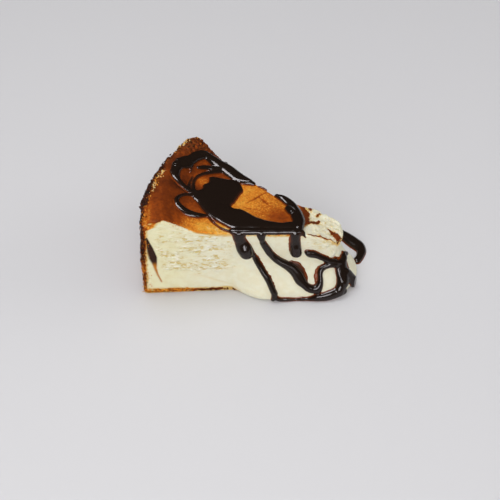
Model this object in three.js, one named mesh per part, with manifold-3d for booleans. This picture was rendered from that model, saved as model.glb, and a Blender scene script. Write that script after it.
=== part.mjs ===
import * as THREE from "three";
import { mergeVertices } from "three/addons/utils/BufferGeometryUtils.js";
import Module from "manifold-3d";

// A cut wedge of burnt-top cheesecake with a slumped tip and thick chocolate sauce.
// Millimetres, +Z up. Shapes are worked out in the near cut's own frame: s runs along the near
// cut from the rim towards the tip, d runs in towards the far cut, and z is the height.

const { clamp, degToRad, lerp, smoothstep } = THREE.MathUtils;

// Plan of the wedge
const RADIUS = 117;
const WEDGE = degToRad(44.5);
const NEAR_CORNER_RADIUS = 3;
const FAR_CORNER_TRIM = 3;
const TIP_RADIUS = 13.5;
const TIP_S = 105.5;
const FAR_STRAIGHT_TO = 50;
const APEX = new THREE.Vector2(RADIUS, 0);
const CENTRE = new THREE.Vector2(68, 27);

// Heights: the browned rim, the top of the upright wall below it, and the sunken middle
const RIM_HEIGHT = 56;
const WALL_HEIGHT_NEAR = 49;
const WALL_HEIGHT_FAR = 54;
const MIDDLE_HEIGHT = 47;
const TOP_FALL = 0.045;

// The rim's crest, in from the wall, and the slope from it down to the middle
const CREST_NEAR = 11;
const CREST_FAR = 3;
const SLOPE_NEAR = 15;
const SLOPE_FAR = 13;
const EDGE_ROUND = 1.3;
const EDGE_DROP = 0.8;

// The dip along the far cut, and the tip's sag
const FAR_DIP = 2.5;
const FAR_DIP_FROM = 20;
const FAR_DIP_TO = 100;
const DIP_FADE = 22;
const TIP_SAG = 9;
const SAG_FROM = 88;
const SAG_TO = 124;
const SAG_SKEW = 0.25;

// The soft centre that has run out at the foot, as far as SLUMP past the top edge
const SLUMP = 11;
const TIP_SLUMP = -1;
const SLUMP_FROM_S = 53;
const SLUMP_RISE = 20;
const FAR_SLUMP_FROM = 55;
const FAR_SLUMP_FULL = 16;
const BULGE_START = 0.62;
const TIP_BULGE_START = 0.2;
const BULGE_EASE = 1.3;
const FOOT_TUCK = 2;
const TUCK_HEIGHT = 3;

// Browned skin, torn off at the tip over bare curdy filling, and crumbly along the rim
const TORN_S = 94;
const TORN_BOW = 5;
const TORN_ACROSS = 34;
const TORN_WANDER = 1.2;
const SKIN = 1.1;
const CURD = 0.6;
const CRAG = 1;
const CRAG_FROM = 6;
const CRAG_TO = 14;

// Creases that the folded baking paper has pressed into the wall
const PAPER_FOLDS = 9;
const FOLD_DEPTH = 1.4;
const FOLD_HALF_WIDTH = 3.2;
const FOLD_WANDER = 2.5;
const FOLD_LEAN = 0.22;

// Sauce: its height, how far its edges and its underside sink in, and its mesh
const SAUCE_HEIGHT = 2.4;
const SAUCE_FULLNESS = 0.5;
const SAUCE_FOOT = 0.7;
const SAUCE_SINK = 2;
const SAUCE_STEP = 3.2;
const THIN_SAUCE = 4.5;
const THIN_SHARES = [-0.5, -0.25, 0.25, 0.5];
const WIDE_SHARES = [-0.5, -0.38, -0.14, 0.14, 0.38, 0.5];

// The cake's mesh
const AROUND = 100;
const SIDE_ROWS = 9;
const TOP_RINGS = [0.03, 0.08, 0.14, 0.21, 0.3, 0.42, 0.56, 0.75];
const BELOW = 3;
const TOLERANCE = 0.02;

// Plan outline

function farCutPoint(rho) {
  return new THREE.Vector2(APEX.x - rho * Math.cos(WEDGE), APEX.y + rho * Math.sin(WEDGE));
}

function planPath() {
  const tip = new THREE.Vector2(TIP_S, TIP_RADIUS);
  const bend = farCutPoint(FAR_STRAIGHT_TO);
  const toBend = bend.clone().sub(tip);
  const tangent = toBend.angle() - Math.acos(TIP_RADIUS / toBend.length());
  const corner = farCutPoint(RADIUS - FAR_CORNER_TRIM);
  const round = NEAR_CORNER_RADIUS;
  const wallInset = round / RADIUS;
  const path = new THREE.Path();
  path.moveTo(round, 0);
  path.lineTo(TIP_S, 0);
  path.absarc(tip.x, tip.y, TIP_RADIUS, -Math.PI / 2, tangent, false);
  path.lineTo(bend.x, bend.y);
  path.lineTo(corner.x, corner.y);
  path.absarc(APEX.x, APEX.y, RADIUS, Math.PI - WEDGE + wallInset, Math.PI - wallInset, false);
  path.absarc(round, round, round, Math.PI, 1.5 * Math.PI, false);
  return path;
}

// The outline as evenly spaced points with outward normals.
function tracePlan() {
  const path = planPath();
  const points = path.getSpacedPoints(AROUND).slice(0, AROUND);
  const normals = points.map((_, i) => {
    const before = points[(i + AROUND - 1) % AROUND];
    const after = points[(i + 1) % AROUND];
    return new THREE.Vector2(after.y - before.y, before.x - after.x).normalize();
  });
  return { points, normals, step: path.getLength() / AROUND };
}

const PLAN = tracePlan();

// Plan point and outward normal at a distance u along the outline, where u is s on the near cut.
function planAt(u) {
  const place = (u - NEAR_CORNER_RADIUS) / PLAN.step;
  const low = Math.floor(place);
  const i = THREE.MathUtils.euclideanModulo(low, AROUND);
  const j = (i + 1) % AROUND;
  return {
    point: PLAN.points[i].clone().lerp(PLAN.points[j], place - low),
    normal: PLAN.normals[i].clone().lerp(PLAN.normals[j], place - low).normalize(),
  };
}

// Top surface

// Share of the way round from the near cut (0) to the far cut (1).
function turnShare(s, d) {
  return clamp(Math.atan2(d, Math.max(RADIUS - s, 0.001)) / WEDGE, 0, 1);
}

function rimToMiddle(fromWall, share) {
  const crest = lerp(CREST_NEAR, CREST_FAR, share);
  if (fromWall < crest) {
    const shoulder = Math.sqrt(Math.max(0, 1 - ((crest - fromWall) / crest) ** 2));
    return lerp(lerp(WALL_HEIGHT_NEAR, WALL_HEIGHT_FAR, share), RIM_HEIGHT, shoulder);
  }
  const past = fromWall - crest;
  const slope = Math.exp(-((past / lerp(SLOPE_NEAR, SLOPE_FAR, share)) ** 2));
  return lerp(MIDDLE_HEIGHT, RIM_HEIGHT, slope) - TOP_FALL * past;
}

// Where the skin ends at the tip: the torn edge bows and wanders as it crosses the slice.
function tornEdge(d) {
  const bow = Math.sin(Math.PI * clamp(d / TORN_ACROSS, 0, 1));
  return TORN_S + TORN_BOW * bow + TORN_WANDER * Math.sin(0.9 * d);
}

function topRelief(s, d, fromWall) {
  const bare = smoothstep(s - tornEdge(d), -1, 1);
  const curd = Math.sin(0.55 * s + 0.3 * d) * Math.sin(0.6 * d - 0.2 * s + 1);
  const crag = Math.sin(0.7 * d + 0.3 * s) * Math.sin(0.4 * d - 0.5 * s + 2);
  const onRim = 1 - smoothstep(fromWall, CRAG_FROM, CRAG_TO);
  return bare * (CURD * curd - SKIN) + onRim * CRAG * Math.max(0, crag);
}

function topHeight(s, d) {
  const rho = Math.hypot(RADIUS - s, d);
  const fromWall = s > RADIUS ? s : RADIUS - rho;
  const share = turnShare(s, d);
  const dipStart = smoothstep(fromWall, FAR_DIP_FROM, FAR_DIP_FROM + DIP_FADE);
  const dipEnd = 1 - smoothstep(fromWall, FAR_DIP_TO - DIP_FADE, FAR_DIP_TO);
  const dip = FAR_DIP * share ** 2 * dipStart * dipEnd;
  const sag = TIP_SAG * smoothstep(s + SAG_SKEW * clamp(d, 0, TORN_ACROSS), SAG_FROM, SAG_TO);
  return rimToMiddle(fromWall, share) - dip - sag + topRelief(s, d, fromWall);
}

// Sides

// 1 round the blunt tip, 0 on the straight cuts.
function tipShare(point) {
  if (point.x >= TIP_S) {
    const angle = Math.atan2(point.y - TIP_RADIUS, point.x - TIP_S);
    return smoothstep(angle, -Math.PI / 2, 0);
  }
  return point.y > TIP_RADIUS ? smoothstep(point.x, TIP_S - 2 * TIP_RADIUS, TIP_S) : 0;
}

// How far the foot has run out past the top edge.
function footSpread(point) {
  const rho = Math.hypot(RADIUS - point.x, point.y);
  const near = Math.sin((Math.PI / 2) * clamp((point.x - SLUMP_FROM_S) / SLUMP_RISE, 0, 1));
  const far = 1 - smoothstep(rho, FAR_SLUMP_FULL, FAR_SLUMP_FROM);
  return SLUMP * (point.y > TIP_RADIUS ? far : near) + TIP_SLUMP * tipShare(point);
}

function paperFolds(point, z) {
  const rho = Math.hypot(RADIUS - point.x, point.y);
  const onWall = smoothstep(rho, RADIUS - 3, RADIUS - 1);
  const along = RADIUS * Math.atan2(point.y, RADIUS - point.x);
  const spacing = (RADIUS * WEDGE) / PAPER_FOLDS;
  let crease = 0;
  for (let k = 0; k < PAPER_FOLDS; k++) {
    const lean = FOLD_LEAN * Math.sin(3.1 * k) * (z - WALL_HEIGHT_NEAR / 2);
    const place = (k + 0.5) * spacing + FOLD_WANDER * Math.sin(7.3 * k) + lean;
    const depth = FOLD_DEPTH * (0.65 + 0.35 * Math.sin(5.7 * k + 1));
    crease += depth * Math.max(0, 1 - Math.abs(along - place) / FOLD_HALF_WIDTH);
  }
  return onWall * crease;
}

// The side at a share w of its height, from 0 at the plate to 1 at the top edge.
function sidePoint(point, normal, w) {
  const height = topHeight(point.x, point.y) - EDGE_DROP;
  const spread = footSpread(point);
  const start = BULGE_START + TIP_BULGE_START * tipShare(point);
  const down = clamp((start - w) / start, 0, 1);
  const bulge = spread * Math.sin((Math.PI / 2) * down) ** BULGE_EASE;
  const low = 1 - clamp((w * height) / TUCK_HEIGHT, 0, 1);
  const tuck = FOOT_TUCK * smoothstep(spread, 0, 3) * low ** 2;
  const out = bulge - tuck - paperFolds(point, w * height);
  return new THREE.Vector3(point.x + normal.x * out, point.y + normal.y * out, w * height);
}

// Any point of the outside: u along the outline, v in from the top edge, or down the side and then
// out over the plate where it is negative.
function surfacePoint(u, v) {
  const { point, normal } = planAt(u);
  if (v > 0) {
    const s = point.x - normal.x * v;
    const d = point.y - normal.y * v;
    const edge = EDGE_DROP * Math.max(0, 1 - v / EDGE_ROUND) ** 2;
    return new THREE.Vector3(s, d, topHeight(s, d) - edge);
  }
  const height = topHeight(point.x, point.y);
  const side = sidePoint(point, normal, clamp(1 + v / height, 0, 1));
  const beyond = Math.max(0, -v - height);
  return side.add(new THREE.Vector3(normal.x * beyond, normal.y * beyond, 0));
}

function platePoint(s, d) {
  return new THREE.Vector3(s, d, 0);
}

// Closed meshes

// A closed mesh from loops of equally many points, with a point that closes each end.
function loft(loops, first, last) {
  const count = loops[0].length;
  const position = [first, ...loops.flat(), last].flatMap((p) => [p.x, p.y, p.z]);
  const lastIndex = loops.length * count + 1;
  const index = [];
  const at = (row, i) => 1 + row * count + (i % count);
  for (let i = 0; i < count; i++) {
    index.push(0, at(0, i + 1), at(0, i));
    index.push(lastIndex, at(loops.length - 1, i), at(loops.length - 1, i + 1));
  }
  for (let row = 0; row + 1 < loops.length; row++) {
    for (let i = 0; i < count; i++) {
      index.push(at(row, i), at(row, i + 1), at(row + 1, i + 1));
      index.push(at(row, i), at(row + 1, i + 1), at(row + 1, i));
    }
  }
  return new THREE.BufferGeometry()
    .setAttribute("position", new THREE.Float32BufferAttribute(position, 3))
    .setIndex(index);
}

function cakeGeometry() {
  const loops = [];
  const foot = PLAN.points.map((p, i) => sidePoint(p, PLAN.normals[i], 0));
  loops.push(foot.map((p) => p.clone().setZ(-BELOW)));
  for (let row = 0; row <= SIDE_ROWS; row++) {
    const w = row / SIDE_ROWS;
    loops.push(PLAN.points.map((p, i) => sidePoint(p, PLAN.normals[i], w)));
  }
  for (const share of TOP_RINGS) {
    loops.push(
      PLAN.points.map((p) => {
        const q = p.clone().lerp(CENTRE, share);
        return new THREE.Vector3(q.x, q.y, topHeight(q.x, q.y));
      }),
    );
  }
  const top = new THREE.Vector3(CENTRE.x, CENTRE.y, topHeight(CENTRE.x, CENTRE.y));
  return loft(loops, new THREE.Vector3(CENTRE.x, CENTRE.y, -BELOW), top);
}

// Sauce

// Part of an ellipse that stands on the surface, with its edges and underside sunk into the cake.
function crossSection(width, shares) {
  const height = Math.min(SAUCE_FULLNESS * width, SAUCE_HEIGHT);
  const top = shares.map((share) => ({
    across: share * width,
    up: (height + SAUCE_FOOT) * Math.sqrt(1 - (2 * share) ** 2) - SAUCE_FOOT,
  }));
  return [{ across: 0, up: -SAUCE_SINK }, ...top.reverse()];
}

// Sauce laid along a route of [a, b, width] points over a surface that at(a, b) gives.
function strand(at, route) {
  const line = new THREE.CatmullRomCurve3(
    route.map(([a, b, width]) => new THREE.Vector3(a, b, width)), false, "centripetal",
  );
  const steps = Math.max(3, Math.round(line.getLength() / SAUCE_STEP));
  const places = line.getSpacedPoints(steps);
  const shares = Math.max(...places.map((place) => place.z)) < THIN_SAUCE ? THIN_SHARES : WIDE_SHARES;
  const sections = places.map((place, k) => {
    const ahead = places[Math.min(k + 1, steps)];
    const behind = places[Math.max(k - 1, 0)];
    return ringOver(at, place, ahead.clone().sub(behind), place.z, shares);
  });
  const start = roundedEnd(at, places[0], places[0].clone().sub(places[1]), shares, -1);
  const end = roundedEnd(at, places[steps], places[steps].clone().sub(places[steps - 1]), shares, 1);
  return loft([start.ring, ...sections, end.ring], start.nose, end.nose);
}

// One section of a strand at a place on the surface, across its direction there.
function ringOver(at, place, direction, width, shares) {
  const reach = 0.6;
  const stretchA = at(place.x + reach, place.y).distanceTo(at(place.x - reach, place.y)) / (2 * reach);
  const stretchB = at(place.x, place.y + reach).distanceTo(at(place.x, place.y - reach)) / (2 * reach);
  const size = Math.hypot(direction.x * stretchA, direction.y * stretchB);
  const acrossA = (-direction.y * stretchB) / size / stretchA;
  const acrossB = (direction.x * stretchA) / size / stretchB;
  return crossSection(width, shares).map(({ across, up }) =>
    liftedPoint(at, place.x + acrossA * across, place.y + acrossB * across, up),
  );
}

function liftedPoint(at, a, b, up) {
  const reach = 1.2;
  const alongA = at(a + reach, b).sub(at(a - reach, b));
  const alongB = at(a, b + reach).sub(at(a, b - reach));
  const normal = alongA.cross(alongB).normalize();
  return at(a, b).addScaledVector(normal, up);
}

// The rounded end of a strand: a smaller section a little past its last place, and the nose.
// Out is the way off the end, and turn is -1 where that is against the strand's own direction.
function roundedEnd(at, last, out, shares, turn) {
  const direction = out.setZ(0).normalize();
  const past = last.clone().addScaledVector(direction, 0.35 * last.z);
  const nose = last.clone().addScaledVector(direction, 0.5 * last.z);
  return {
    ring: ringOver(at, past, direction.clone().multiplyScalar(turn), 0.66 * last.z, shares),
    nose: liftedPoint(at, nose.x, nose.y, -SAUCE_FOOT),
  };
}

// Routes over the cake as [u, v, width], chosen by hand
const SAUCE_ROUTES = {
  rimLoop: [
    [23, 19, 3], [20.5, 26, 3.4], [21, 37, 4], [20.5, 45, 5.5], [24, 53, 8], [30, 60, 7],
    [38, 65, 7], [46, 64, 7.5], [53, 60, 8], [59, 54.5, 7], [64, 49.5, 5.5], [68, 45.5, 3.5],
  ],
  leftFall: [[21, 38, 4], [25.5, 36, 4], [31, 34, 4.5], [37, 31, 5]],
  innerCurl: [[51, 58, 4], [43, 56.5, 3.6], [37.5, 52, 3.6], [33.5, 46, 3.8], [33, 39, 4], [38, 34, 5]],
  leftLoop: [
    [37, 33, 3.6], [30, 31.5, 3], [24.5, 28, 3], [22, 22.5, 3], [25, 18.5, 3], [31, 16.5, 3], [39, 17, 3.6],
  ],
  frontLoop: [[38, 20, 3.4], [41.5, 12.5, 3.4], [47, 6.5, 3.6], [53, 3.5, 4], [60, 3, 5]],
  pool: [
    [39, 42, 14], [45, 40, 18], [50, 34, 19], [50.5, 26, 19], [52, 18, 18], [58, 12, 15],
    [67, 8.5, 12], [77, 6.5, 9], [87, 6.5, 9], [94, 5, 6],
  ],
  frontEdge: [[52, 2.5, 5], [62, 2, 5], [72, 2, 5], [82, 2, 5], [93, 1.5, 4.5]],
  tipBand: [[80, 37, 4], [85, 34, 6], [89.5, 29, 8], [92, 22, 8], [93, 14, 6.5], [93.5, 6, 6]],
  farBits: [[71, 44, 2.6], [75, 40.5, 2.6]],
  dripOne: [[57, 5, 9], [56.5, -3, 8], [57.5, -10, 7.4], [60, -16.5, 8]],
  dripTwo: [[70, 4, 8], [70, -3, 6.5], [70.5, -7, 4]],
  dripThree: [[90, 4, 7.5], [89.6, -4, 6.6], [89.5, -10, 6.4], [90, -15.5, 7]],
  thinFall: [
    [60.5, -5, 3], [63.5, -13, 2.4], [68, -21, 2.4], [72, -28, 2.8], [75.5, -35, 3.4], [78, -40.5, 4],
  ],
  footLine: [
    [78, -40.5, 4], [84, -42.5, 3], [92, -42, 2.8], [98, -40.5, 2.8], [104, -37.5, 2.8],
    [109.5, -34, 3], [113.5, -31, 3.6],
  ],
  longSwing: [
    [70.5, -6, 3.4], [72, -10.5, 3.4], [75.5, -15.5, 3.4], [80.5, -20, 3.6], [86, -23.5, 4.8],
    [91, -28, 6.6], [95, -31.5, 6.6], [99.5, -33.2, 4.8], [103, -31.5, 3.4], [104.6, -27, 3.2],
    [104.8, -22.5, 3.2], [107.5, -19, 3.2], [111.5, -17, 3.2], [115.5, -16, 3.6],
  ],
  upperTick: [[97, -15, 3.6], [103, -14, 3.2], [108.5, -14.5, 3.2], [112.5, -16, 3.2], [116, -17, 3.6]],
  knot: [
    [121, -10.5, 4.4], [118.5, -13.5, 6], [116.5, -18, 7], [115, -23, 6.6], [114, -28, 6.4],
    [112.5, -32.5, 5.6],
  ],
  knotBranch: [[115, -22, 3.6], [117.2, -26.5, 3.6], [115, -31, 3.6]],
  knotSpot: [[119, -15.5, 4], [122.5, -17.5, 4]],
  farDripOne: [[214, 8, 7], [215, 0, 7], [215.5, -8, 6], [216, -15, 7]],
  farDripTwo: [[197, 6, 7], [196.5, -1, 5.5], [196, -8, 5.5]],
  farDripThree: [[178, 6, 6], [177, -1, 6], [175, -9, 5], [174, -16, 6]],
};

// The strand that curls over the plate beside the tip and ends at its foot, as [s, d, width]
const PLATE_CURL = [
  [125, 46.5, 4.8], [130, 44.5, 5], [135, 40.5, 5], [137.5, 35.5, 4.8], [136.5, 30, 4.2],
  [133, 24.5, 4], [129.5, 19.5, 4], [126.5, 16, 4],
];

// Joining

async function library() {
  const wasm = await Module();
  wasm.setup();
  return wasm;
}

function solidFrom(wasm, geometry) {
  const merged = mergeVertices(geometry, 1e-4);
  const vertProperties = new Float32Array(merged.attributes.position.array);
  const triVerts = new Uint32Array(merged.index.array);
  return new wasm.Manifold(
    new wasm.Mesh({ numProp: 3, vertProperties, triVerts, tolerance: TOLERANCE }),
  );
}

function geometryFrom(solid) {
  const { numProp, numVert, vertProperties, triVerts } = solid.getMesh();
  const position = new Float32Array(numVert * 3);
  for (let i = 0; i < numVert; i++) {
    position.set(vertProperties.subarray(i * numProp, i * numProp + 3), i * 3);
  }
  const geometry = new THREE.BufferGeometry()
    .setAttribute("position", new THREE.BufferAttribute(position, 3))
    .setIndex(new THREE.BufferAttribute(new Uint32Array(triVerts), 1));
  geometry.computeVertexNormals();
  return geometry;
}

// The body itself: pockets sealed under the sauce are filled and loose scraps dropped.
function largestBody(solid) {
  return solid.decompose().reduce((best, body) => (body.volume() > best.volume() ? body : best));
}

// Everything under the plate's level, for trimming the base flat.
function underPlate() {
  const side = 4 * RADIUS;
  const box = new THREE.BoxGeometry(side, side, side).translate(0, 0, -side / 2);
  box.deleteAttribute("normal");
  box.deleteAttribute("uv");
  return box;
}

function cheesecakeGeometry(wasm) {
  let solid = solidFrom(wasm, cakeGeometry());
  for (const route of Object.values(SAUCE_ROUTES)) {
    solid = solid.add(solidFrom(wasm, strand(surfacePoint, route)));
  }
  solid = solid.add(solidFrom(wasm, strand(platePoint, PLATE_CURL)));
  solid = solid.subtract(solidFrom(wasm, underPlate()));
  return geometryFrom(largestBody(solid));
}

function cheesecakeMesh(wasm) {
  const material = new THREE.MeshStandardMaterial({
    color: 0xded4b0,
    roughness: 0.55,
    metalness: 0,
  });
  const mesh = new THREE.Mesh(cheesecakeGeometry(wasm), material);
  mesh.name = "cheesecake";
  return mesh;
}

// The slice's own frame: origin on its base half way along the slice, +X from rim to tip.
function place(mesh) {
  const turned = new THREE.Group();
  turned.rotation.z = WEDGE / 2;
  const middle = APEX.clone().sub(
    new THREE.Vector2(Math.cos(WEDGE / 2), -Math.sin(WEDGE / 2)).multiplyScalar(RADIUS / 2),
  );
  mesh.position.set(-middle.x, -middle.y, 0);
  turned.add(mesh);
  return turned;
}

const wasm = await library();
const cheesecake = new THREE.Group();
cheesecake.add(place(cheesecakeMesh(wasm)));

export default cheesecake;
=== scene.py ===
"""A slice of burnt-top cheesecake with chocolate sauce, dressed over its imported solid.

Shapes are worked out in millimetres in the near cut's own frame: s runs along the near cut from
the rim towards the tip, d runs in towards the far cut, and z is the height. A place on the slice
is also given as u, v: u runs round the top edge, equal to s on the near cut, and v runs in from
that edge, or down the side where it is negative. Meshes are turned into the part's frame, in
metres, when they are made.
"""

import itertools
import logging
import math
from collections.abc import Callable, Sequence
from dataclasses import dataclass, field
from enum import Enum

import bpy
import numpy as np
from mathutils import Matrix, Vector
from mathutils.bvhtree import BVHTree
from mathutils.geometry import delaunay_2d_cdt


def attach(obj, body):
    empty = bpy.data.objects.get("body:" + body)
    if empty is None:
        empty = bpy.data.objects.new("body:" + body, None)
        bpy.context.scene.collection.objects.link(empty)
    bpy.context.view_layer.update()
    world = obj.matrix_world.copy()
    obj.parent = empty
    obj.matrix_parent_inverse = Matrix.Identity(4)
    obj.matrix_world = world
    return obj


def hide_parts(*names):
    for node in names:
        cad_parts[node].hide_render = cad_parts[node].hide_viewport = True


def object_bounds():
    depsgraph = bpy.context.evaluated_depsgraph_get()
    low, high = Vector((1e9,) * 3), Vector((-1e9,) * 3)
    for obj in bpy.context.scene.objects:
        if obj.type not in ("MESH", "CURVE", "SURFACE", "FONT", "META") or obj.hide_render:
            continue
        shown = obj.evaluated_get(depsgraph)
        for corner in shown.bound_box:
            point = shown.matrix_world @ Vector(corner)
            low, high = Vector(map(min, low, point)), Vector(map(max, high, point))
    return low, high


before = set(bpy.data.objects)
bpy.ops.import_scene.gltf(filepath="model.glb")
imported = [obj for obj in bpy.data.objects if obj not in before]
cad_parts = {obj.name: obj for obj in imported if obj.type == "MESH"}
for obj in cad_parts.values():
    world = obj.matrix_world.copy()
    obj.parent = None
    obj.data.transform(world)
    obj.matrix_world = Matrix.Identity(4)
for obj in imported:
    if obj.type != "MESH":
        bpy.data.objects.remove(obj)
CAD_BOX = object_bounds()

LOG = logging.getLogger("cheesecake")
NODE = "cheesecake"
BODY = "root"
METRES = 0.001
BOX_GAP = 0.00002
Array = np.ndarray
Pair = tuple[float, float]
Place = tuple[float, float, float]
Colour = tuple[float, float, float]
HeightMap = Callable[[Array, Array], Array]
Object = bpy.types.Object
Material = bpy.types.Material
Socket = bpy.types.NodeSocket


class Slot(Enum):
    """The record's material slots."""

    FILLING = "cream_filling"
    SKIN = "browned_skin"
    SAUCE = "chocolate_sauce"


class Crumb(Enum):
    """Kinds of crumb, with the browning that each one shows."""

    PALE = 0.02
    GOLDEN = 0.24
    BROWN = 0.8
    BURNT = 1.1


# Small sums


def smoothstep(value: Array, low: float, high: float) -> Array:
    """Rise smoothly from 0 at low to 1 at high."""
    share = np.clip((value - low) / (high - low), 0, 1)
    return share * share * (3 - 2 * share)


def between(first: Array | float, second: Array | float, share: Array) -> Array:
    """Go from first to second by a share."""
    return first + (second - first) * share


def unit(vectors: Array) -> Array:
    """Scale each vector to length 1."""
    return vectors / np.maximum(np.linalg.norm(vectors, axis=-1, keepdims=True), 1e-9)


def band(value: Array, rise: Pair, fall: Pair) -> Array:
    """Rise smoothly to 1 over one span and fall to 0 over another."""
    return smoothstep(value, *rise) * (1 - smoothstep(value, *fall))


def flat_points(s: Array, d: Array) -> Array:
    """Set plan places at height 0."""
    return np.column_stack([s, d, np.zeros(len(s))])


class Noise:
    """Smooth seeded noise over points in space, about -1 to 1."""

    CELLS = 256
    STRENGTH = 1.6

    def __init__(self, seed: int) -> None:
        """Draw the noise's directions."""
        rng = np.random.default_rng(seed)
        self.order, self.ways = rng.permutation(self.CELLS), unit(rng.normal(size=(self.CELLS, 3)))

    def at(self, points: Array, size: Array) -> Array:
        """Read the noise.

        Args:
            points: Places, one row each.
            size: Width of one bump, or one width for each axis.

        Returns:
            One value for each point.
        """
        place = points / size
        cell = np.floor(place).astype(int)
        inside = place - cell
        fade = inside**3 * (inside * (inside * 6 - 15) + 10)
        total = np.zeros(len(points))
        for corner in itertools.product((0, 1), repeat=3):
            key = np.zeros(len(points), int)
            for axis in range(3):
                key = self.order[(key + cell[:, axis] + corner[axis]) % self.CELLS]
            weight = np.prod(np.where(corner, fade, 1 - fade), axis=1)
            total += weight * np.sum(self.ways[key] * (inside - corner), axis=1)
        return self.STRENGTH * total

    def layered(self, points: Array, size: float | Place, layers: int) -> Array:
        """Add up layers of noise, each half as wide and half as high as the last."""
        width = np.asarray(size, float)
        return sum(0.5**k * self.at(points, width * 0.5**k) for k in range(layers))


def crossed(waves: tuple[Place, Place], s: Array, d: Array) -> Array:
    """Multiply two waves over the top, each by its steps along s and d and its start."""
    return np.prod([np.sin(along * s + across * d + start) for along, across, start in waves], axis=0)


# Form of the slice


@dataclass(frozen=True)
class Plan:
    """Outline of the wedge seen from above."""

    radius: float = 117.0
    wedge: float = math.radians(44.5)
    near_corner: float = 3.0
    far_trim: float = 3.0
    tip_radius: float = 13.5
    tip_s: float = 105.5
    far_straight_to: float = 50.0
    wall_from: float = 3.0
    wall_full: float = 1.0
    turn_reach: float = 3.27
    fineness: float = 0.25

    def far_cut_point(self, rho: float) -> Array:
        """Find the point of the far cut at a distance from the apex."""
        return np.array([self.radius - rho * math.cos(self.wedge), rho * math.sin(self.wedge)])

    def far_corner(self) -> Array:
        """Find where the far cut meets the wall."""
        return self.far_cut_point(self.radius - self.far_trim)

    def middle(self) -> Array:
        """Find the part's origin, half way along the slice."""
        half = self.wedge / 2
        return np.array([self.radius, 0]) - np.array([math.cos(half), -math.sin(half)]) * self.radius / 2

    def on_wall(self, point: Array) -> Array:
        """Tell the curved outer wall (1) from the cuts (0)."""
        rho = np.hypot(self.radius - point[..., 0], point[..., 1])
        return smoothstep(rho, self.radius - self.wall_from, self.radius - self.wall_full)

    def tip_angle(self, point: Array) -> Array:
        """Measure the turn round the blunt tip, in radians."""
        return np.arctan2(point[..., 1] - self.tip_radius, point[..., 0] - self.tip_s)

    def arc(self, centre: Array, radius: float, start: float, end: float) -> Array:
        """Trace an arc without its last point.

        Args:
            centre: Middle of the arc.
            radius: Its radius.
            start: First angle, in radians.
            end: Last angle.

        Returns:
            Points along it.
        """
        count = max(4, int(abs(end - start) * radius / self.fineness))
        angle = np.linspace(start, end, count, endpoint=False)
        return centre + radius * np.stack([np.cos(angle), np.sin(angle)], axis=1)

    def trace(self) -> Array:
        """Trace the whole outline, from the near cut round the tip to the near corner."""
        apex = np.array([self.radius, 0.0])
        tip = np.array([self.tip_s, self.tip_radius])
        bend = self.far_cut_point(self.far_straight_to)
        to_bend = bend - tip
        reach = math.hypot(*to_bend)
        tangent = math.atan2(to_bend[1], to_bend[0]) - math.acos(self.tip_radius / reach)
        arc_end = tip + self.tip_radius * np.array([math.cos(tangent), math.sin(tangent)])
        inset = self.near_corner / self.radius
        round_centre = np.array([self.near_corner, self.near_corner])
        start = np.array([[self.near_corner, 0.0]])
        return np.concatenate([
            start,
            self.arc(tip, self.tip_radius, -math.pi / 2, tangent),
            [arc_end, bend, self.far_corner()],
            self.arc(apex, self.radius, math.pi - self.wedge + inset, math.pi - inset),
            self.arc(round_centre, self.near_corner, math.pi, 1.5 * math.pi),
            start,
        ])


class Outline:
    """The plan's outline by its length u, with outward normals."""

    def __init__(self, plan: Plan) -> None:
        """Measure the outline.

        Args:
            plan: The wedge's plan.
        """
        self.plan = plan
        self.points = plan.trace()
        steps = np.linalg.norm(np.diff(self.points, axis=0), axis=1)
        self.lengths = np.concatenate([[0], np.cumsum(steps)])
        self.total = self.lengths[-1]

    def point(self, u: Array) -> Array:
        """Find the outline's plan points at distances round it."""
        along = np.mod(u - self.plan.near_corner, self.total)
        return np.stack([np.interp(along, self.lengths, self.points[:, axis]) for axis in (0, 1)], axis=-1)

    def normal(self, u: Array) -> Array:
        """Find the outward normals, smoothed over the corners."""
        way = self.point(u + self.plan.turn_reach) - self.point(u - self.plan.turn_reach)
        return unit(np.stack([way[..., 1], -way[..., 0]], axis=-1))

    def wall_share(self, u: Array) -> Array:
        """Tell the curved outer wall (1) from the cuts (0)."""
        return self.plan.on_wall(self.point(u))


@dataclass(frozen=True)
class Spot:
    """A soft patch on the top."""

    s: float
    d: float
    reach_s: float
    reach_d: float
    amount: float

    def at(self, s: Array, d: Array) -> Array:
        """Read the patch's strength."""
        apart = ((s - self.s) / self.reach_s) ** 2 + ((d - self.d) / self.reach_d) ** 2
        return self.amount * np.exp(-apart)


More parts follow.
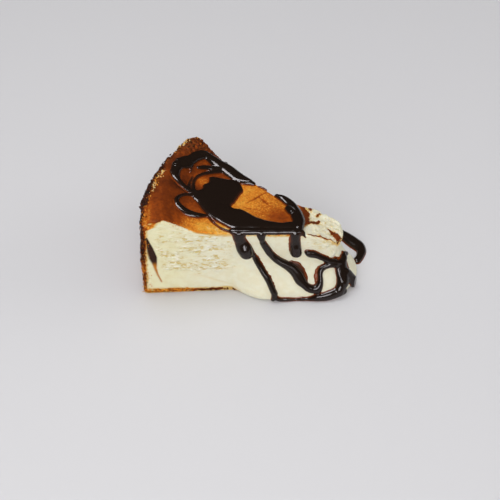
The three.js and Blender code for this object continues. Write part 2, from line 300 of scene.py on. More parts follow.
@dataclass(frozen=True)
class CakeForm:
    """Heights and sides of the slice."""

    plan: Plan = field(default_factory=Plan)
    rim_height: float = 56.0
    wall_height_near: float = 49.0
    wall_height_far: float = 54.0
    middle_height: float = 47.0
    top_fall: float = 0.045
    crests: Pair = (11, 3)
    slopes: Pair = (15, 13)
    edge_round: float = 1.3
    edge_drop: float = 0.8
    dent_reach: float = 8.0
    far_dip: float = 2.5
    dip_rise: Pair = (20, 42)
    dip_fall: Pair = (78, 100)
    tip_sag: float = 9.0
    sag_rise: Pair = (88, 124)
    sag_skew: float = 0.25
    slump: float = 11.0
    tip_slump: float = -1.0
    slump_from_s: float = 53.0
    slump_rise: float = 20.0
    far_slump: Pair = (16, 55)
    bulge_start: float = 0.62
    tip_bulge_start: float = 0.2
    bulge_ease: float = 1.3
    foot_tuck: float = 2.0
    tuck_height: float = 3.0
    tuck_spread: float = 3.0
    torn_s: float = 94.0
    torn_bow: float = 5.0
    torn_across: float = 34.0
    torn_wander: float = 1.2
    torn_waves: float = 0.9
    skin: float = 1.1
    curd: float = 0.6
    crag: float = 1.0
    crag_fade: Pair = (6, 14)
    crag_waves: tuple[Place, Place] = ((0.3, 0.7, 0), (-0.5, 0.4, 2))
    curd_waves: tuple[Place, Place] = ((0.55, 0.3, 0), (-0.2, 0.6, 1))
    paper_folds: int = 9
    fold_depth: float = 1.4
    fold_half_width: float = 3.2
    fold_wander: float = 2.5
    fold_lean: float = 0.22
    fold_change: float = 0.35
    fold_turns: Place = (3.1, 7.3, 5.7)
    hollow_depth: float = 3.5
    hollow_turn: float = 0.3
    hollow_from: Pair = (1, 12)
    hollow_to: Pair = (22, 36)
    corner_drop: float = 1.8
    corner_reach: float = 6.0
    worn: tuple[Spot, ...] = (Spot(0.5, 7, 9, 10, 1.7), Spot(19, 66, 5, 5, 1.7))
    worn_rise: Pair = (28, 43)

    def from_apex(self, s: Array, d: Array) -> Array:
        """Measure from the wedge's apex."""
        return np.hypot(self.plan.radius - s, d)

    def from_wall(self, s: Array, d: Array) -> Array:
        """Measure in from the curved wall."""
        return np.where(s > self.plan.radius, s, self.plan.radius - self.from_apex(s, d))

    def turn_share(self, s: Array, d: Array) -> Array:
        """Go from 0 on the near cut to 1 on the far cut."""
        return np.clip(np.arctan2(d, np.maximum(self.plan.radius - s, 0.001)) / self.plan.wedge, 0, 1)

    def rim_to_middle(self, from_wall: Array, share: Array) -> Array:
        """Work out the height from the rim's edge, over its crest, to the sunken middle.

        Args:
            from_wall: Distances in from the wall.
            share: Turn from the near cut to the far cut.

        Returns:
            Heights.
        """
        crest = between(*self.crests, share)
        lap = np.clip((crest - from_wall) / crest, 0, 1)
        shoulder = np.sqrt(1 - lap**2)
        edge = between(self.wall_height_near, self.wall_height_far, share)
        past = np.maximum(from_wall - crest, 0)
        slope = np.exp(-((past / between(*self.slopes, share)) ** 2))
        inner = between(self.middle_height, self.rim_height, slope) - self.top_fall * past
        return np.where(from_wall < crest, between(edge, self.rim_height, shoulder), inner)

    def torn_edge(self, d: Array) -> Array:
        """Find how far along the slice the skin reaches."""
        bow = np.sin(np.pi * np.clip(d / self.torn_across, 0, 1))
        return self.torn_s + self.torn_bow * bow + self.torn_wander * np.sin(self.torn_waves * d)

    def bare_share(self, s: Array, d: Array) -> Array:
        """Tell bare filling (1) from skin (0)."""
        return smoothstep(s - self.torn_edge(d), -1, 1)

    def smooth_top(self, s: Array, d: Array) -> Array:
        """Work out the top's height without its relief.

        Args:
            s: Distances along the near cut.
            d: Distances in from it.

        Returns:
            Heights.
        """
        from_wall = self.from_wall(s, d)
        share = self.turn_share(s, d)
        dip = self.far_dip * share**2 * band(from_wall, self.dip_rise, self.dip_fall)
        skewed = s + self.sag_skew * np.clip(d, 0, self.torn_across)
        sag = self.tip_sag * smoothstep(skewed, *self.sag_rise)
        corner = Spot(*self.plan.far_corner(), self.corner_reach, self.corner_reach, self.corner_drop)
        return self.rim_to_middle(from_wall, share) - dip - sag - corner.at(s, d)

    def crags(self, s: Array, d: Array) -> Array:
        """Raise the crumbly rim."""
        on_rim = 1 - smoothstep(self.from_wall(s, d), *self.crag_fade)
        return on_rim * self.crag * np.maximum(0, crossed(self.crag_waves, s, d))

    def curds(self, s: Array, d: Array) -> Array:
        """Raise the broad curds of the bare filling."""
        return self.curd * crossed(self.curd_waves, s, d)

    def top(self, s: Array, d: Array) -> Array:
        """Work out the top's height with skin, curds and crags, as the solid has it."""
        bare = self.bare_share(s, d)
        return self.smooth_top(s, d) + bare * (self.curds(s, d) - self.skin) + self.crags(s, d)

    def tip_share(self, point: Array) -> Array:
        """Go from 0 on the straight cuts to 1 round the blunt tip.

        Args:
            point: Plan points of the outline.

        Returns:
            Shares.
        """
        plan, s = self.plan, point[..., 0]
        turned = smoothstep(plan.tip_angle(point), -math.pi / 2, 0)
        past = smoothstep(s, plan.tip_s - 2 * plan.tip_radius, plan.tip_s)
        return np.where(s >= plan.tip_s, turned, np.where(point[..., 1] > plan.tip_radius, past, 0))

    def foot_spread(self, point: Array) -> Array:
        """Find how far the soft centre has run out at the foot.

        Args:
            point: Plan points of the outline.

        Returns:
            Distances.
        """
        s, d = point[..., 0], point[..., 1]
        near = np.sin(math.pi / 2 * np.clip((s - self.slump_from_s) / self.slump_rise, 0, 1))
        far = 1 - smoothstep(self.from_apex(s, d), *self.far_slump)
        spread = self.slump * np.where(d > self.plan.tip_radius, far, near)
        return spread + self.tip_slump * self.tip_share(point)

    def folds(self, point: Array, z: Array) -> Array:
        """Work out the creases that the baking paper has pressed into the wall.

        Args:
            point: Plan points of the outline.
            z: Heights.

        Returns:
            Depths.
        """
        radius = self.plan.radius
        along = radius * np.arctan2(point[..., 1], radius - point[..., 0])
        spacing = radius * self.plan.wedge / self.paper_folds
        crease = np.zeros(np.shape(z))
        for k in range(self.paper_folds):
            lean_turn, place_turn, depth_turn = (k * turn for turn in self.fold_turns)
            lean = self.fold_lean * math.sin(lean_turn) * (z - self.wall_height_near / 2)
            place = (k + 0.5) * spacing + self.fold_wander * math.sin(place_turn) + lean
            depth = self.fold_depth * (1 - self.fold_change * (1 - math.sin(depth_turn + 1)))
            crease = crease + depth * np.maximum(0, 1 - np.abs(along - place) / self.fold_half_width)
        return self.plan.on_wall(point) * crease

    def wear(self, point: Array, z: Array) -> Array:
        """Work out how far handling has worn the wall's upper edge back."""
        worn = sum(spot.at(point[..., 0], point[..., 1]) for spot in self.worn)
        return self.plan.on_wall(point) * smoothstep(z, *self.worn_rise) * worn

    def near_edge(self, gap: Array) -> Array:
        """Fade the wall's dents out over the top, by the distance in from its edge."""
        return 1 - smoothstep(gap, 0, self.dent_reach)

    def edge_fall(self, gap: Array) -> Array:
        """Round the top down at its edge, by the distance in from it."""
        return self.edge_drop * np.maximum(0, 1 - gap / self.edge_round) ** 2

    def side_out(self, point: Array, w: Array, height: Array) -> Array:
        """Work out how far the side stands out from the top edge.

        Args:
            point: Plan points of the outline.
            w: Shares of the height, 0 at the plate and 1 at the top edge.
            height: Heights of the side there.

        Returns:
            Distances along the outward normal.
        """
        z = w * height
        spread = self.foot_spread(point)
        start = self.bulge_start + self.tip_bulge_start * self.tip_share(point)
        down = np.clip((start - w) / start, 0, 1)
        bulge = spread * np.sin(math.pi / 2 * down) ** self.bulge_ease
        low = 1 - np.clip(z / self.tuck_height, 0, 1)
        tuck = self.foot_tuck * smoothstep(spread, 0, self.tuck_spread) * low**2
        return bulge - tuck - self.folds(point, z) - self.wear(point, z) - self.hollow(point, z)

    def hollow(self, point: Array, z: Array) -> Array:
        """Draw in the blunt tip between its top and its foot."""
        around = np.maximum(0, np.cos(self.plan.tip_angle(point) - self.hollow_turn)) ** 2
        return self.hollow_depth * around * band(z, self.hollow_from, self.hollow_to)


class SliceSurface:
    """Places on the outside of the slice by u and v, as the solid has them."""

    def __init__(self, form: CakeForm) -> None:
        """Keep the form of the slice and measure its outline."""
        self.form = form
        self.outline = Outline(form.plan)

    def at(self, u: Array, v: Array) -> Array:
        """Find points on the outside.

        Args:
            u: Distances round the outline.
            v: Distances in from the top edge, or down the side where negative.

        Returns:
            Points in the near cut's frame.
        """
        form = self.form
        point, normal = self.outline.point(u), self.outline.normal(u)
        worn = form.wear(point, np.full(np.shape(u), form.wall_height_near)) * form.near_edge(v)
        inside = point - normal * (np.maximum(v, 0) + worn)[..., None]
        height = form.top(point[..., 0], point[..., 1])
        w = np.clip(1 + v / height, 0, 1)
        side_height = height - form.edge_drop
        out = form.side_out(point, w, side_height) + np.maximum(0, -v - height)
        plan = np.where((v > 0)[..., None], inside, point + normal * out[..., None])
        lid_z = form.top(inside[..., 0], inside[..., 1]) - form.edge_fall(v)
        z = np.where(v > 0, lid_z, w * side_height)
        return np.concatenate([plan, z[..., None]], axis=-1)


class PlateSurface:
    """Places on the plate by s and d."""

    def at(self, s: Array, d: Array) -> Array:
        """Find points on the plate."""
        return np.stack([s, d, np.zeros(np.shape(s))], axis=-1)


# Meshes


@dataclass
class Shape:
    """A triangle mesh in the near cut's frame, with named values on its points."""

    CUT_SHARES = (0.06, 0.94)
    points: Array
    faces: Array
    values: dict[str, Array] = field(default_factory=dict)

    def normals(self) -> Array:
        """Average the faces' normals at each point."""
        a, b, c = (self.points[self.faces[:, k]] for k in range(3))
        across = np.cross(b - a, c - a)
        total = np.zeros_like(self.points)
        for k in range(3):
            for axis in range(3):
                total[:, axis] += np.bincount(self.faces[:, k], across[:, axis], len(self.points))
        return unit(total)

    def edges(self) -> Array:
        """List the directed edges of the faces."""
        return np.concatenate([self.faces[:, [0, 1]], self.faces[:, [1, 2]], self.faces[:, [2, 0]]])

    def kept_where(self, level: Array) -> "Shape":
        """Cut the mesh along a level line and keep the positive side.

        Args:
            level: One value for each point, 0 on the line.

        Returns:
            The part where the value is positive.
        """
        inside = level > 0
        count = inside[self.faces].sum(axis=1)
        lone = rolled_to(self.faces[count == 1], inside)
        pair = rolled_to(self.faces[count == 2], ~inside)
        crossed = np.concatenate([lone[:, [0, 1]], lone[:, [0, 2]], pair[:, [0, 1]], pair[:, [0, 2]]])
        ends, where = np.unique(np.sort(crossed, axis=1), axis=0, return_inverse=True)
        low, high = level[ends[:, 0]], level[ends[:, 1]]
        share = np.clip(low / (low - high), *self.CUT_SHARES)
        made = len(self.points) + where.reshape(-1)
        lone_b, lone_c, pair_b, pair_c = np.split(made, np.cumsum([len(lone), len(lone), len(pair)]))
        pieces = [
            self.faces[count == 3],
            np.stack([lone[:, 0], lone_b, lone_c], axis=1),
            np.stack([pair_b, pair[:, 1], pair[:, 2]], axis=1),
            np.stack([pair_b, pair[:, 2], pair_c], axis=1),
        ]

        def extended(values: Array) -> Array:
            """Add the values of the new points on the line."""
            weight = share if values.ndim == 1 else share[:, None]
            return np.concatenate([values, between(values[ends[:, 0]], values[ends[:, 1]], weight)])

        values = {name: extended(value) for name, value in self.values.items()}
        return Shape(extended(self.points), np.concatenate(pieces), values).trimmed()

    def trimmed(self) -> "Shape":
        """Drop the points that no face uses."""
        used, faces = np.unique(self.faces, return_inverse=True)
        values = {name: value[used] for name, value in self.values.items()}
        return Shape(self.points[used], faces.reshape(-1, 3), values)

    def border(self) -> Array:
        """List the directed edges that only one face has."""
        edges = self.edges()
        _, first, count = np.unique(np.sort(edges, axis=1), axis=0, return_index=True, return_counts=True)
        return edges[first[count == 1]]

    def thickened(self, normals: Array, depth: float) -> "Shape":
        """Give an open sheet a back face and an edge.

        Args:
            normals: Outward directions of the points.
            depth: Its thickness.

        Returns:
            A closed mesh.
        """
        size = len(self.points)
        points = np.concatenate([self.points, self.points - depth * normals])
        rim = self.border()
        first = np.stack([rim[:, 1], rim[:, 0], rim[:, 0] + size], axis=1)
        second = np.stack([rim[:, 1], rim[:, 0] + size, rim[:, 1] + size], axis=1)
        faces = np.concatenate([self.faces, self.faces[:, ::-1] + size, first, second])
        values = {name: np.concatenate([value, value]) for name, value in self.values.items()}
        return Shape(points, faces, values)

    def relaxed(self, rounds: int, step: float, back: float) -> "Shape":
        """Smooth the points without shrinking the form.

        Args:
            rounds: How often each point moves.
            step: Share of the way to its neighbours' mean.
            back: Share of the way back.

        Returns:
            The smoothed mesh.
        """
        pairs = np.unique(np.sort(self.edges(), axis=1), axis=0)
        ends = np.concatenate([pairs, pairs[:, ::-1]])
        size = len(self.points)
        degree = np.maximum(np.bincount(ends[:, 0], minlength=size), 1)
        points = self.points.copy()
        for share in (step, -back) * rounds:
            sums = [np.bincount(ends[:, 0], points[ends[:, 1], axis], size) for axis in range(3)]
            points += share * (np.stack(sums, axis=1) / degree[:, None] - points)
        return Shape(points, self.faces, self.values)


def rolled_to(faces: Array, chosen: Array) -> Array:
    """Turn each face so that its one chosen corner comes first."""
    first = np.argmax(chosen[faces], axis=1)
    return np.take_along_axis(faces, (first[:, None] + np.arange(3)) % 3, axis=1)


def tube_faces(steps: int, count: int) -> Array:
    """Join rings of points, each to the next.

    Args:
        steps: How many rings are joined to a next one.
        count: Points in each ring.

    Returns:
        Triangles.
    """
    row, column = np.meshgrid(np.arange(steps), np.arange(count), indexing="ij")
    a = row * count + column
    b = row * count + (column + 1) % count
    halves = [np.stack(corners, axis=-1) for corners in ((a, b, b + count), (a, b + count, a + count))]
    return np.concatenate(halves).reshape(-1, 3)


def fan_faces(centre: int, start: int, count: int) -> Array:
    """Join a ring of points, from a starting number on, to a centre point."""
    ring = np.arange(count)
    return np.stack([np.full(count, centre), start + (ring + 1) % count, start + ring], axis=1)


def triangles_in(points: Array, edge_count: int) -> Array:
    """Join flat points that fill a loop.

    Args:
        points: Points of a plane, those of the loop first and in order.
        edge_count: How many of them make the loop.

    Returns:
        Triangles that face up.
    """
    loop = [(k, (k + 1) % edge_count) for k in range(edge_count)]
    places = [Vector(point) for point in points]
    _, _, triangles, origins, _, _ = delaunay_2d_cdt(places, loop, [], 1, 1e-6)
    source = np.array([origin[0] for origin in origins])
    faces = source[np.array(triangles)]
    a, b, c = (points[faces[:, k]] for k in range(3))
    turn = (b - a)[:, 0] * (c - a)[:, 1] - (b - a)[:, 1] * (c - a)[:, 0]
    faces[turn < 0] = faces[turn < 0][:, ::-1]
    return faces


def joined(shapes: Sequence[Shape]) -> Shape:
    """Put several meshes into one.

    Args:
        shapes: Meshes with the same named values.

    Returns:
        One mesh.
    """
    starts = np.cumsum([0] + [len(shape.points) for shape in shapes[:-1]])
    faces = np.concatenate([shape.faces + start for shape, start in zip(shapes, starts)])
    points = np.concatenate([shape.points for shape in shapes])
    names = shapes[0].values
    values = {name: np.concatenate([shape.values[name] for shape in shapes]) for name in names}
    return Shape(points, faces, values)


def in_part_frame(shape: Shape, plan: Plan) -> Shape:
    """Turn a mesh of the near cut's frame into the part's frame, in metres.

    Args:
        shape: The mesh in millimetres.
        plan: The wedge's plan.

    Returns:
        The mesh in metres.
    """
    flat = shape.points[:, :2] - plan.middle()
    cosine, sine = math.cos(plan.wedge / 2), math.sin(plan.wedge / 2)
    x = cosine * flat[:, 0] - sine * flat[:, 1]
    y = sine * flat[:, 0] + cosine * flat[:, 1]
    points = METRES * np.stack([x, y, shape.points[:, 2]], axis=1)
    return Shape(points, shape.faces, shape.values)


def kept_in_box(shape: Shape) -> Shape:
    """Press back what stands out of the solid's box or sinks below the plate, in the part's frame."""
    low, high = np.array(CAD_BOX) + [[BOX_GAP, BOX_GAP, 0], [-BOX_GAP] * 3]
    return Shape(np.clip(shape.points, low, high), shape.faces, shape.values)


def linked(name: str, data: bpy.types.ID) -> Object:
    """Put an object with the given data in the scene."""
    made = bpy.data.objects.new(name, data)
    bpy.context.scene.collection.objects.link(made)
    return made


def mesh_object(name: str, shape: Shape) -> Object:
    """Make a smooth-shaded object from a mesh and its values.

    Args:
        name: Name of the object.
        shape: The mesh in the part's frame.

    Returns:
        The new object.
    """
    mesh = bpy.data.meshes.new(name)
    mesh.from_pydata(shape.points.tolist(), [], shape.faces.tolist())
    mesh.polygons.foreach_set("use_smooth", np.ones(len(mesh.polygons), bool))
    for label, value in shape.values.items():
        layer = mesh.attributes.new(label, "FLOAT", "POINT")
        layer.data.foreach_set("value", value.astype(np.float32))
    mesh.update()
    return linked(name, mesh)


def place_piece(name: str, shape: Shape, slot: Slot, material: Material) -> Object:
    """Make and dress a piece that stands for the slice.

    Args:
        name: Name of the piece.
        shape: Its mesh in the part's frame.
        slot: Where the record keeps its finish.
        material: Its material.

    Returns:
        The piece.
    """
    piece = mesh_object(name, shape)
    piece.data.materials.append(material)
    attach(piece, BODY)
    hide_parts(NODE)
    LOG.info("%s: %d faces, %s", piece.name, len(piece.data.polygons), slot.value)
    return piece


# Marks on the slice


@dataclass(frozen=True)
class Mark:
    """A line of changing width, as rows of two places and a half width."""

    OUTSIDE = -1000.0
    route: tuple[Place, ...]
    softness: float = 0.6

    def at(self, a: Array, b: Array) -> Array:
        """Read the line's strength, 1 on it and 0 clear of it."""
        return smoothstep(self.inside(a, b), -self.softness, self.softness)

    def inside(self, a: Array, b: Array) -> Array:
        """Measure in from the line's edge, negative outside it.

        Args:
            a: First places, such as s.
            b: Second places, such as d or z.

        Returns:
            Distances.
        """
        most = np.full(np.shape(a), self.OUTSIDE)
        for (a0, b0, w0), (a1, b1, w1) in itertools.pairwise(self.route):
            length = (a1 - a0) ** 2 + (b1 - b0) ** 2
            share = np.clip(((a - a0) * (a1 - a0) + (b - b0) * (b1 - b0)) / length, 0, 1)
            apart = np.hypot(a - between(a0, a1, share), b - between(b0, b1, share))
            most = np.maximum(most, between(w0, w1, share) - apart)
        return most


@dataclass(frozen=True)
class Flake:
    """A scrap of skin left on the bare tip."""

    s: float
    d: float
    reach_s: float
    reach_d: float
    turn: float = 0.0

    def at(self, s: Array, d: Array) -> Array:
        """Measure in from the scrap's edge, negative outside it.

        Args:
            s: Distances along the near cut.
            d: Distances in from it.

        Returns:
            Distances.
        """
        cosine, sine = math.cos(self.turn), math.sin(self.turn)
        along = (cosine * (s - self.s) + sine * (d - self.d)) / self.reach_s
        across = (cosine * (d - self.d) - sine * (s - self.s)) / self.reach_d
        return (1 - np.hypot(along, across)) * min(self.reach_s, self.reach_d)


# The slice's mesh


@dataclass
class SliceGrid:
    """One triangle mesh over the whole slice, which each layer bends to its own height."""

    form: CakeForm
    surface: SliceSurface
    rows: int = 110
    near_step: float = 0.42
    far_step: float = 0.75
    wall_step: float = 0.6
    top_step: float = 0.5
    near_until: float = 176.0
    far_until: float = 236.0
    margin: float = 0.35
    jitter: float = 0.1
    batches: int = 40
    seed: int = 5

    def __post_init__(self) -> None:
        """Lay out the mesh's points and faces."""
        self.columns = self._columns()
        self.count = len(self.columns)
        self.side_u = np.tile(self.columns, self.rows + 1)
        self.side_w = np.repeat(np.arange(self.rows + 1) / self.rows, self.count)
        self.edge = self.surface.outline.point(self.columns)
        self.top_plan, self.top_gap, self.top_u = self._top_points()
        size = len(self.side_u)
        self.faces = np.concatenate([
            tube_faces(self.rows, self.count),
            triangles_in(np.concatenate([self.edge, self.top_plan]), self.count) + size - self.count,
            fan_faces(size + len(self.top_u), 0, self.count),
        ])
        self.u = np.concatenate([self.side_u, self.top_u, [0.0]])
        self.on_top = np.repeat([False, True, False], [size, len(self.top_u), 1])

    def _columns(self) -> Array:
        """Choose the places of the columns round the outline."""
        start = self.form.plan.near_corner
        ends = (start, self.near_until, self.far_until, start + self.surface.outline.total)
        stretches = zip(itertools.pairwise(ends), (self.near_step, self.far_step, self.wall_step))
        parts = [np.linspace(a, b, round((b - a) / step), endpoint=False) for (a, b), step in stretches]
        return np.concatenate(parts)

    def _top_points(self) -> tuple[Array, Array, Array]:
        """Scatter the points inside the top edge.

        Returns:
            Plan points, distances in from the edge and the places round it.
        """
        rng = np.random.default_rng(self.seed)
        low, high = self.edge.min(axis=0), self.edge.max(axis=0)
        rows = np.arange(low[1], high[1], self.top_step * math.sqrt(3) / 2)
        along = np.arange(low[0], high[0], self.top_step)
        grid_s, grid_d = np.meshgrid(along, rows)
        grid_s = grid_s + (np.arange(len(rows)) % 2)[:, None] * self.top_step / 2
        points = np.stack([grid_s.ravel(), grid_d.ravel()], axis=1)
        points = points + rng.uniform(-self.jitter, self.jitter, points.shape) * self.top_step
        gap, u = self._edge_gap(points)
        kept = gap > self.margin
        return points[kept], gap[kept], u[kept]

    def _edge_gap(self, points: Array) -> tuple[Array, Array]:
        """Measure in from the top edge.

        Args:
            points: Plan points.

        Returns:
            Distances, negative outside, and the places round the edge.
        """
        normal = self.surface.outline.normal(self.columns)
        gap, u = [], []
        for part in np.array_split(points, self.batches):
            apart = part[:, None] - self.edge[None]
            nearest = np.argmin((apart**2).sum(axis=2), axis=1)
            step = apart[np.arange(len(part)), nearest]
            gap.append(-(step * normal[nearest]).sum(axis=1))
            u.append(self.columns[nearest])
        return np.concatenate(gap), np.concatenate(u)

    def points(self, top: HeightMap, relief: HeightMap) -> Array:
        """Bend the mesh to one layer's height and relief.

        Args:
            top: Gives the layer's height at s and d.
            relief: Gives how far the side stands out more, from points and u.

        Returns:
            Points in the near cut's frame.
        """
        form, outline = self.form, self.surface.outline
        point, normal = outline.point(self.side_u), outline.normal(self.side_u)
        height = top(point[:, 0], point[:, 1]) - form.edge_drop
        out = form.side_out(point, self.side_w, height)
        z = self.side_w * height
        plain = np.column_stack([point + normal * out[:, None], z])
        out = out + relief(plain, self.side_u)
        side = np.column_stack([point + normal * out[:, None], z])
        edge = outline.point(self.top_u)
        edge_z = np.full(len(edge), form.wall_height_near)
        press = (form.folds(edge, edge_z) + form.wear(edge, edge_z)) * form.near_edge(self.top_gap)
        plan = self.top_plan - outline.normal(self.top_u) * press[:, None]
        lid = np.column_stack([plan, top(plan[:, 0], plan[:, 1]) - form.edge_fall(self.top_gap)])
        return np.concatenate([side, lid, [[*form.plan.middle(), 0.0]]])


@dataclass
class SkinMap:
    """Where the browned skin lies and where it is torn."""

    form: CakeForm
    surface: SliceSurface
    torn_route: tuple[Pair, ...] = (
        (-4, 93), (3, 93), (7, 93.5), (9, 95.5), (12, 97.6),
        (20, 99), (26, 99), (30, 97.6), (34, 95), (40, 92),
    )
    tear: float = 0.9
    tear_size: float = 4.0
    crust_route: tuple[Pair, ...] = ((-50, 1.9), (-27, 3.5), (-5.2, 4.6), (-3.8, 9.2), (-0.8, 11), (0, 12))
    far_crust: float = 0.6
    wall_level: float = 4.0
    rind: float = 0.6
    rind_rough: float = 0.7
    thick_rind: float = 0.8
    thick_from: Pair = (71, 75)
    thick_to: Pair = (86, 90)
    rim_bare: float = 3.0
    bare_edge: float = 2.3
    lined_edge: float = 4.0
    edge_from: Pair = (9, 15)
    edge_to: Pair = (24, 46)
    base_height: float = 3.1
    base_thin: float = 2.3
    base_thins: Pair = (18, 34)
    base_fall: float = 6.0
    base_ends: Pair = (46, 66)
    far_base_ends: Pair = (46, 62)
    ragged: float = 0.75
    ragged_size: float = 2.2
    rough: float = 0.6
    rough_size: float = 1.5
    flakes: tuple[Flake, ...] = (
        Flake(100.3, 26.6, 0.9, 1.7),
        Flake(104.9, 23, 1.4, 0.6, 0.7),
        Flake(114.4, 5.9, 6.2, 2.1, -0.96),
    )
    side_flake: Flake = Flake(117.5, -0.4, 5.0, 1.8)
    strips: tuple[Mark, ...] = (
        Mark(((96.5, 1.6, 0.3), (98.8, 2, 0.4), (104.6, 1.9, 0.4), (109.7, 1.2, 0.35), (113, 1.8, 0.5))),
        Mark(((109.4, 12.8, 0.35), (111.1, 11.9, 0.5), (112.8, 9.4, 0.6))),
        Mark(((96, 11.8, 1.3), (100.7, 14.3, 1.2), (104.8, 17, 0.6))),
    )
    strip_rough: float = 0.35
    seed: int = 21

    def __post_init__(self) -> None:
        """Draw the noise."""
        self.noise = Noise(self.seed)

    def level(self, points: Array, u: Array, on_top: Array) -> Array:
        """Measure in from the skin's edge, negative where the filling is bare."""
        return np.where(on_top, self._on_top(points), self._on_side(points, u))

    def _on_top(self, points: Array) -> Array:
        """Measure in from the torn edge on the top and from the bare near edge.

        Args:
            points: Points in the near cut's frame.

        Returns:
            Distances.
        """
        s, d = points[:, 0], points[:, 1]
        flat = flat_points(s, d)
        rough = self.rough * self.noise.layered(flat, self.rough_size, 2)
        whole = self.torn(d) - s + self.tear * self.noise.layered(flat, self.tear_size, 3)
        scraps = [flake.at(s, d) + rough for flake in self.flakes]
        strips = [strip.inside(s, d) + self.strip_rough * rough for strip in self.strips]
        share = self.edge_share(s)
        lined = d - self.bare_edge * share + rough + self.lined_edge * (1 - share)
        return np.minimum(np.max([whole, *scraps, *strips], axis=0), lined)

    def torn(self, d: Array) -> Array:
        """Find how far along the slice the whole skin reaches."""
        return np.interp(d, *np.array(self.torn_route).T)

    def edge_share(self, s: Array) -> Array:
        """Tell where the filling shows along the top's near edge (1)."""
        return band(s, self.edge_from, self.edge_to)

    def _on_side(self, points: Array, u: Array) -> Array:
        """Measure in from the skin's edge on the cuts and the wall.

        Args:
            points: Points in the near cut's frame.
            u: Their places round the outline.

        Returns:
            Distances.
        """
        form, outline = self.form, self.surface.outline
        plan = outline.point(u)
        rough = self.ragged * self.noise.layered(points, self.ragged_size, 3)
        lap = np.where(u > outline.total, u - outline.total, u)
        far_corner = self._far_corner()
        near = lap < far_corner / 2
        from_wall = np.where(near, lap, far_corner - lap)
        below = points[:, 2] - form.top(plan[:, 0], plan[:, 1]) + form.edge_drop
        crust = np.interp(below, *np.array(self.crust_route).T) * np.where(near, 1, self.far_crust)
        wall = np.where(outline.wall_share(u) > 0.5, self.wall_level, crust - from_wall + rough)
        torn = self.torn(plan[:, 1]) - plan[:, 0]
        bare = np.where(near, self.rim_bare * self.edge_share(plan[:, 0]), 0)
        thick = self.thick_rind * band(lap, self.thick_from, self.thick_to)
        rind = np.minimum(self.rind + thick + self.rind_rough * rough + below - bare, torn)
        base = self._base_height(lap, plan) + self.rough * rough - points[:, 2]
        scrap = self.side_flake.at(lap, below) + self.rind_rough * rough
        return np.max([wall, rind, base, scrap], axis=0)

    def _far_corner(self) -> float:
        """Find where the far cut meets the wall, as u."""
        outline = self.surface.outline
        nearest = np.argmin(np.linalg.norm(outline.points - outline.plan.far_corner(), axis=1))
        return float(outline.lengths[nearest] + outline.plan.near_corner)

    def _base_height(self, u: Array, plan: Array) -> Array:
        """Find how high the browned base reaches on the cuts.

        Args:
            u: Places round the outline.
            plan: The plan points there.

        Returns:
            Heights, negative where there is no base.
        """
        near = between(self.base_height, self.base_thin, smoothstep(u, *self.base_thins))
        near = near - self.base_fall * smoothstep(u, *self.base_ends) ** 2
        rho = self.form.from_apex(plan[:, 0], plan[:, 1])
        far = self.base_height - self.base_fall * (1 - smoothstep(rho, *self.far_base_ends))
        return np.where(plan[:, 1] > 1.0, far, near)


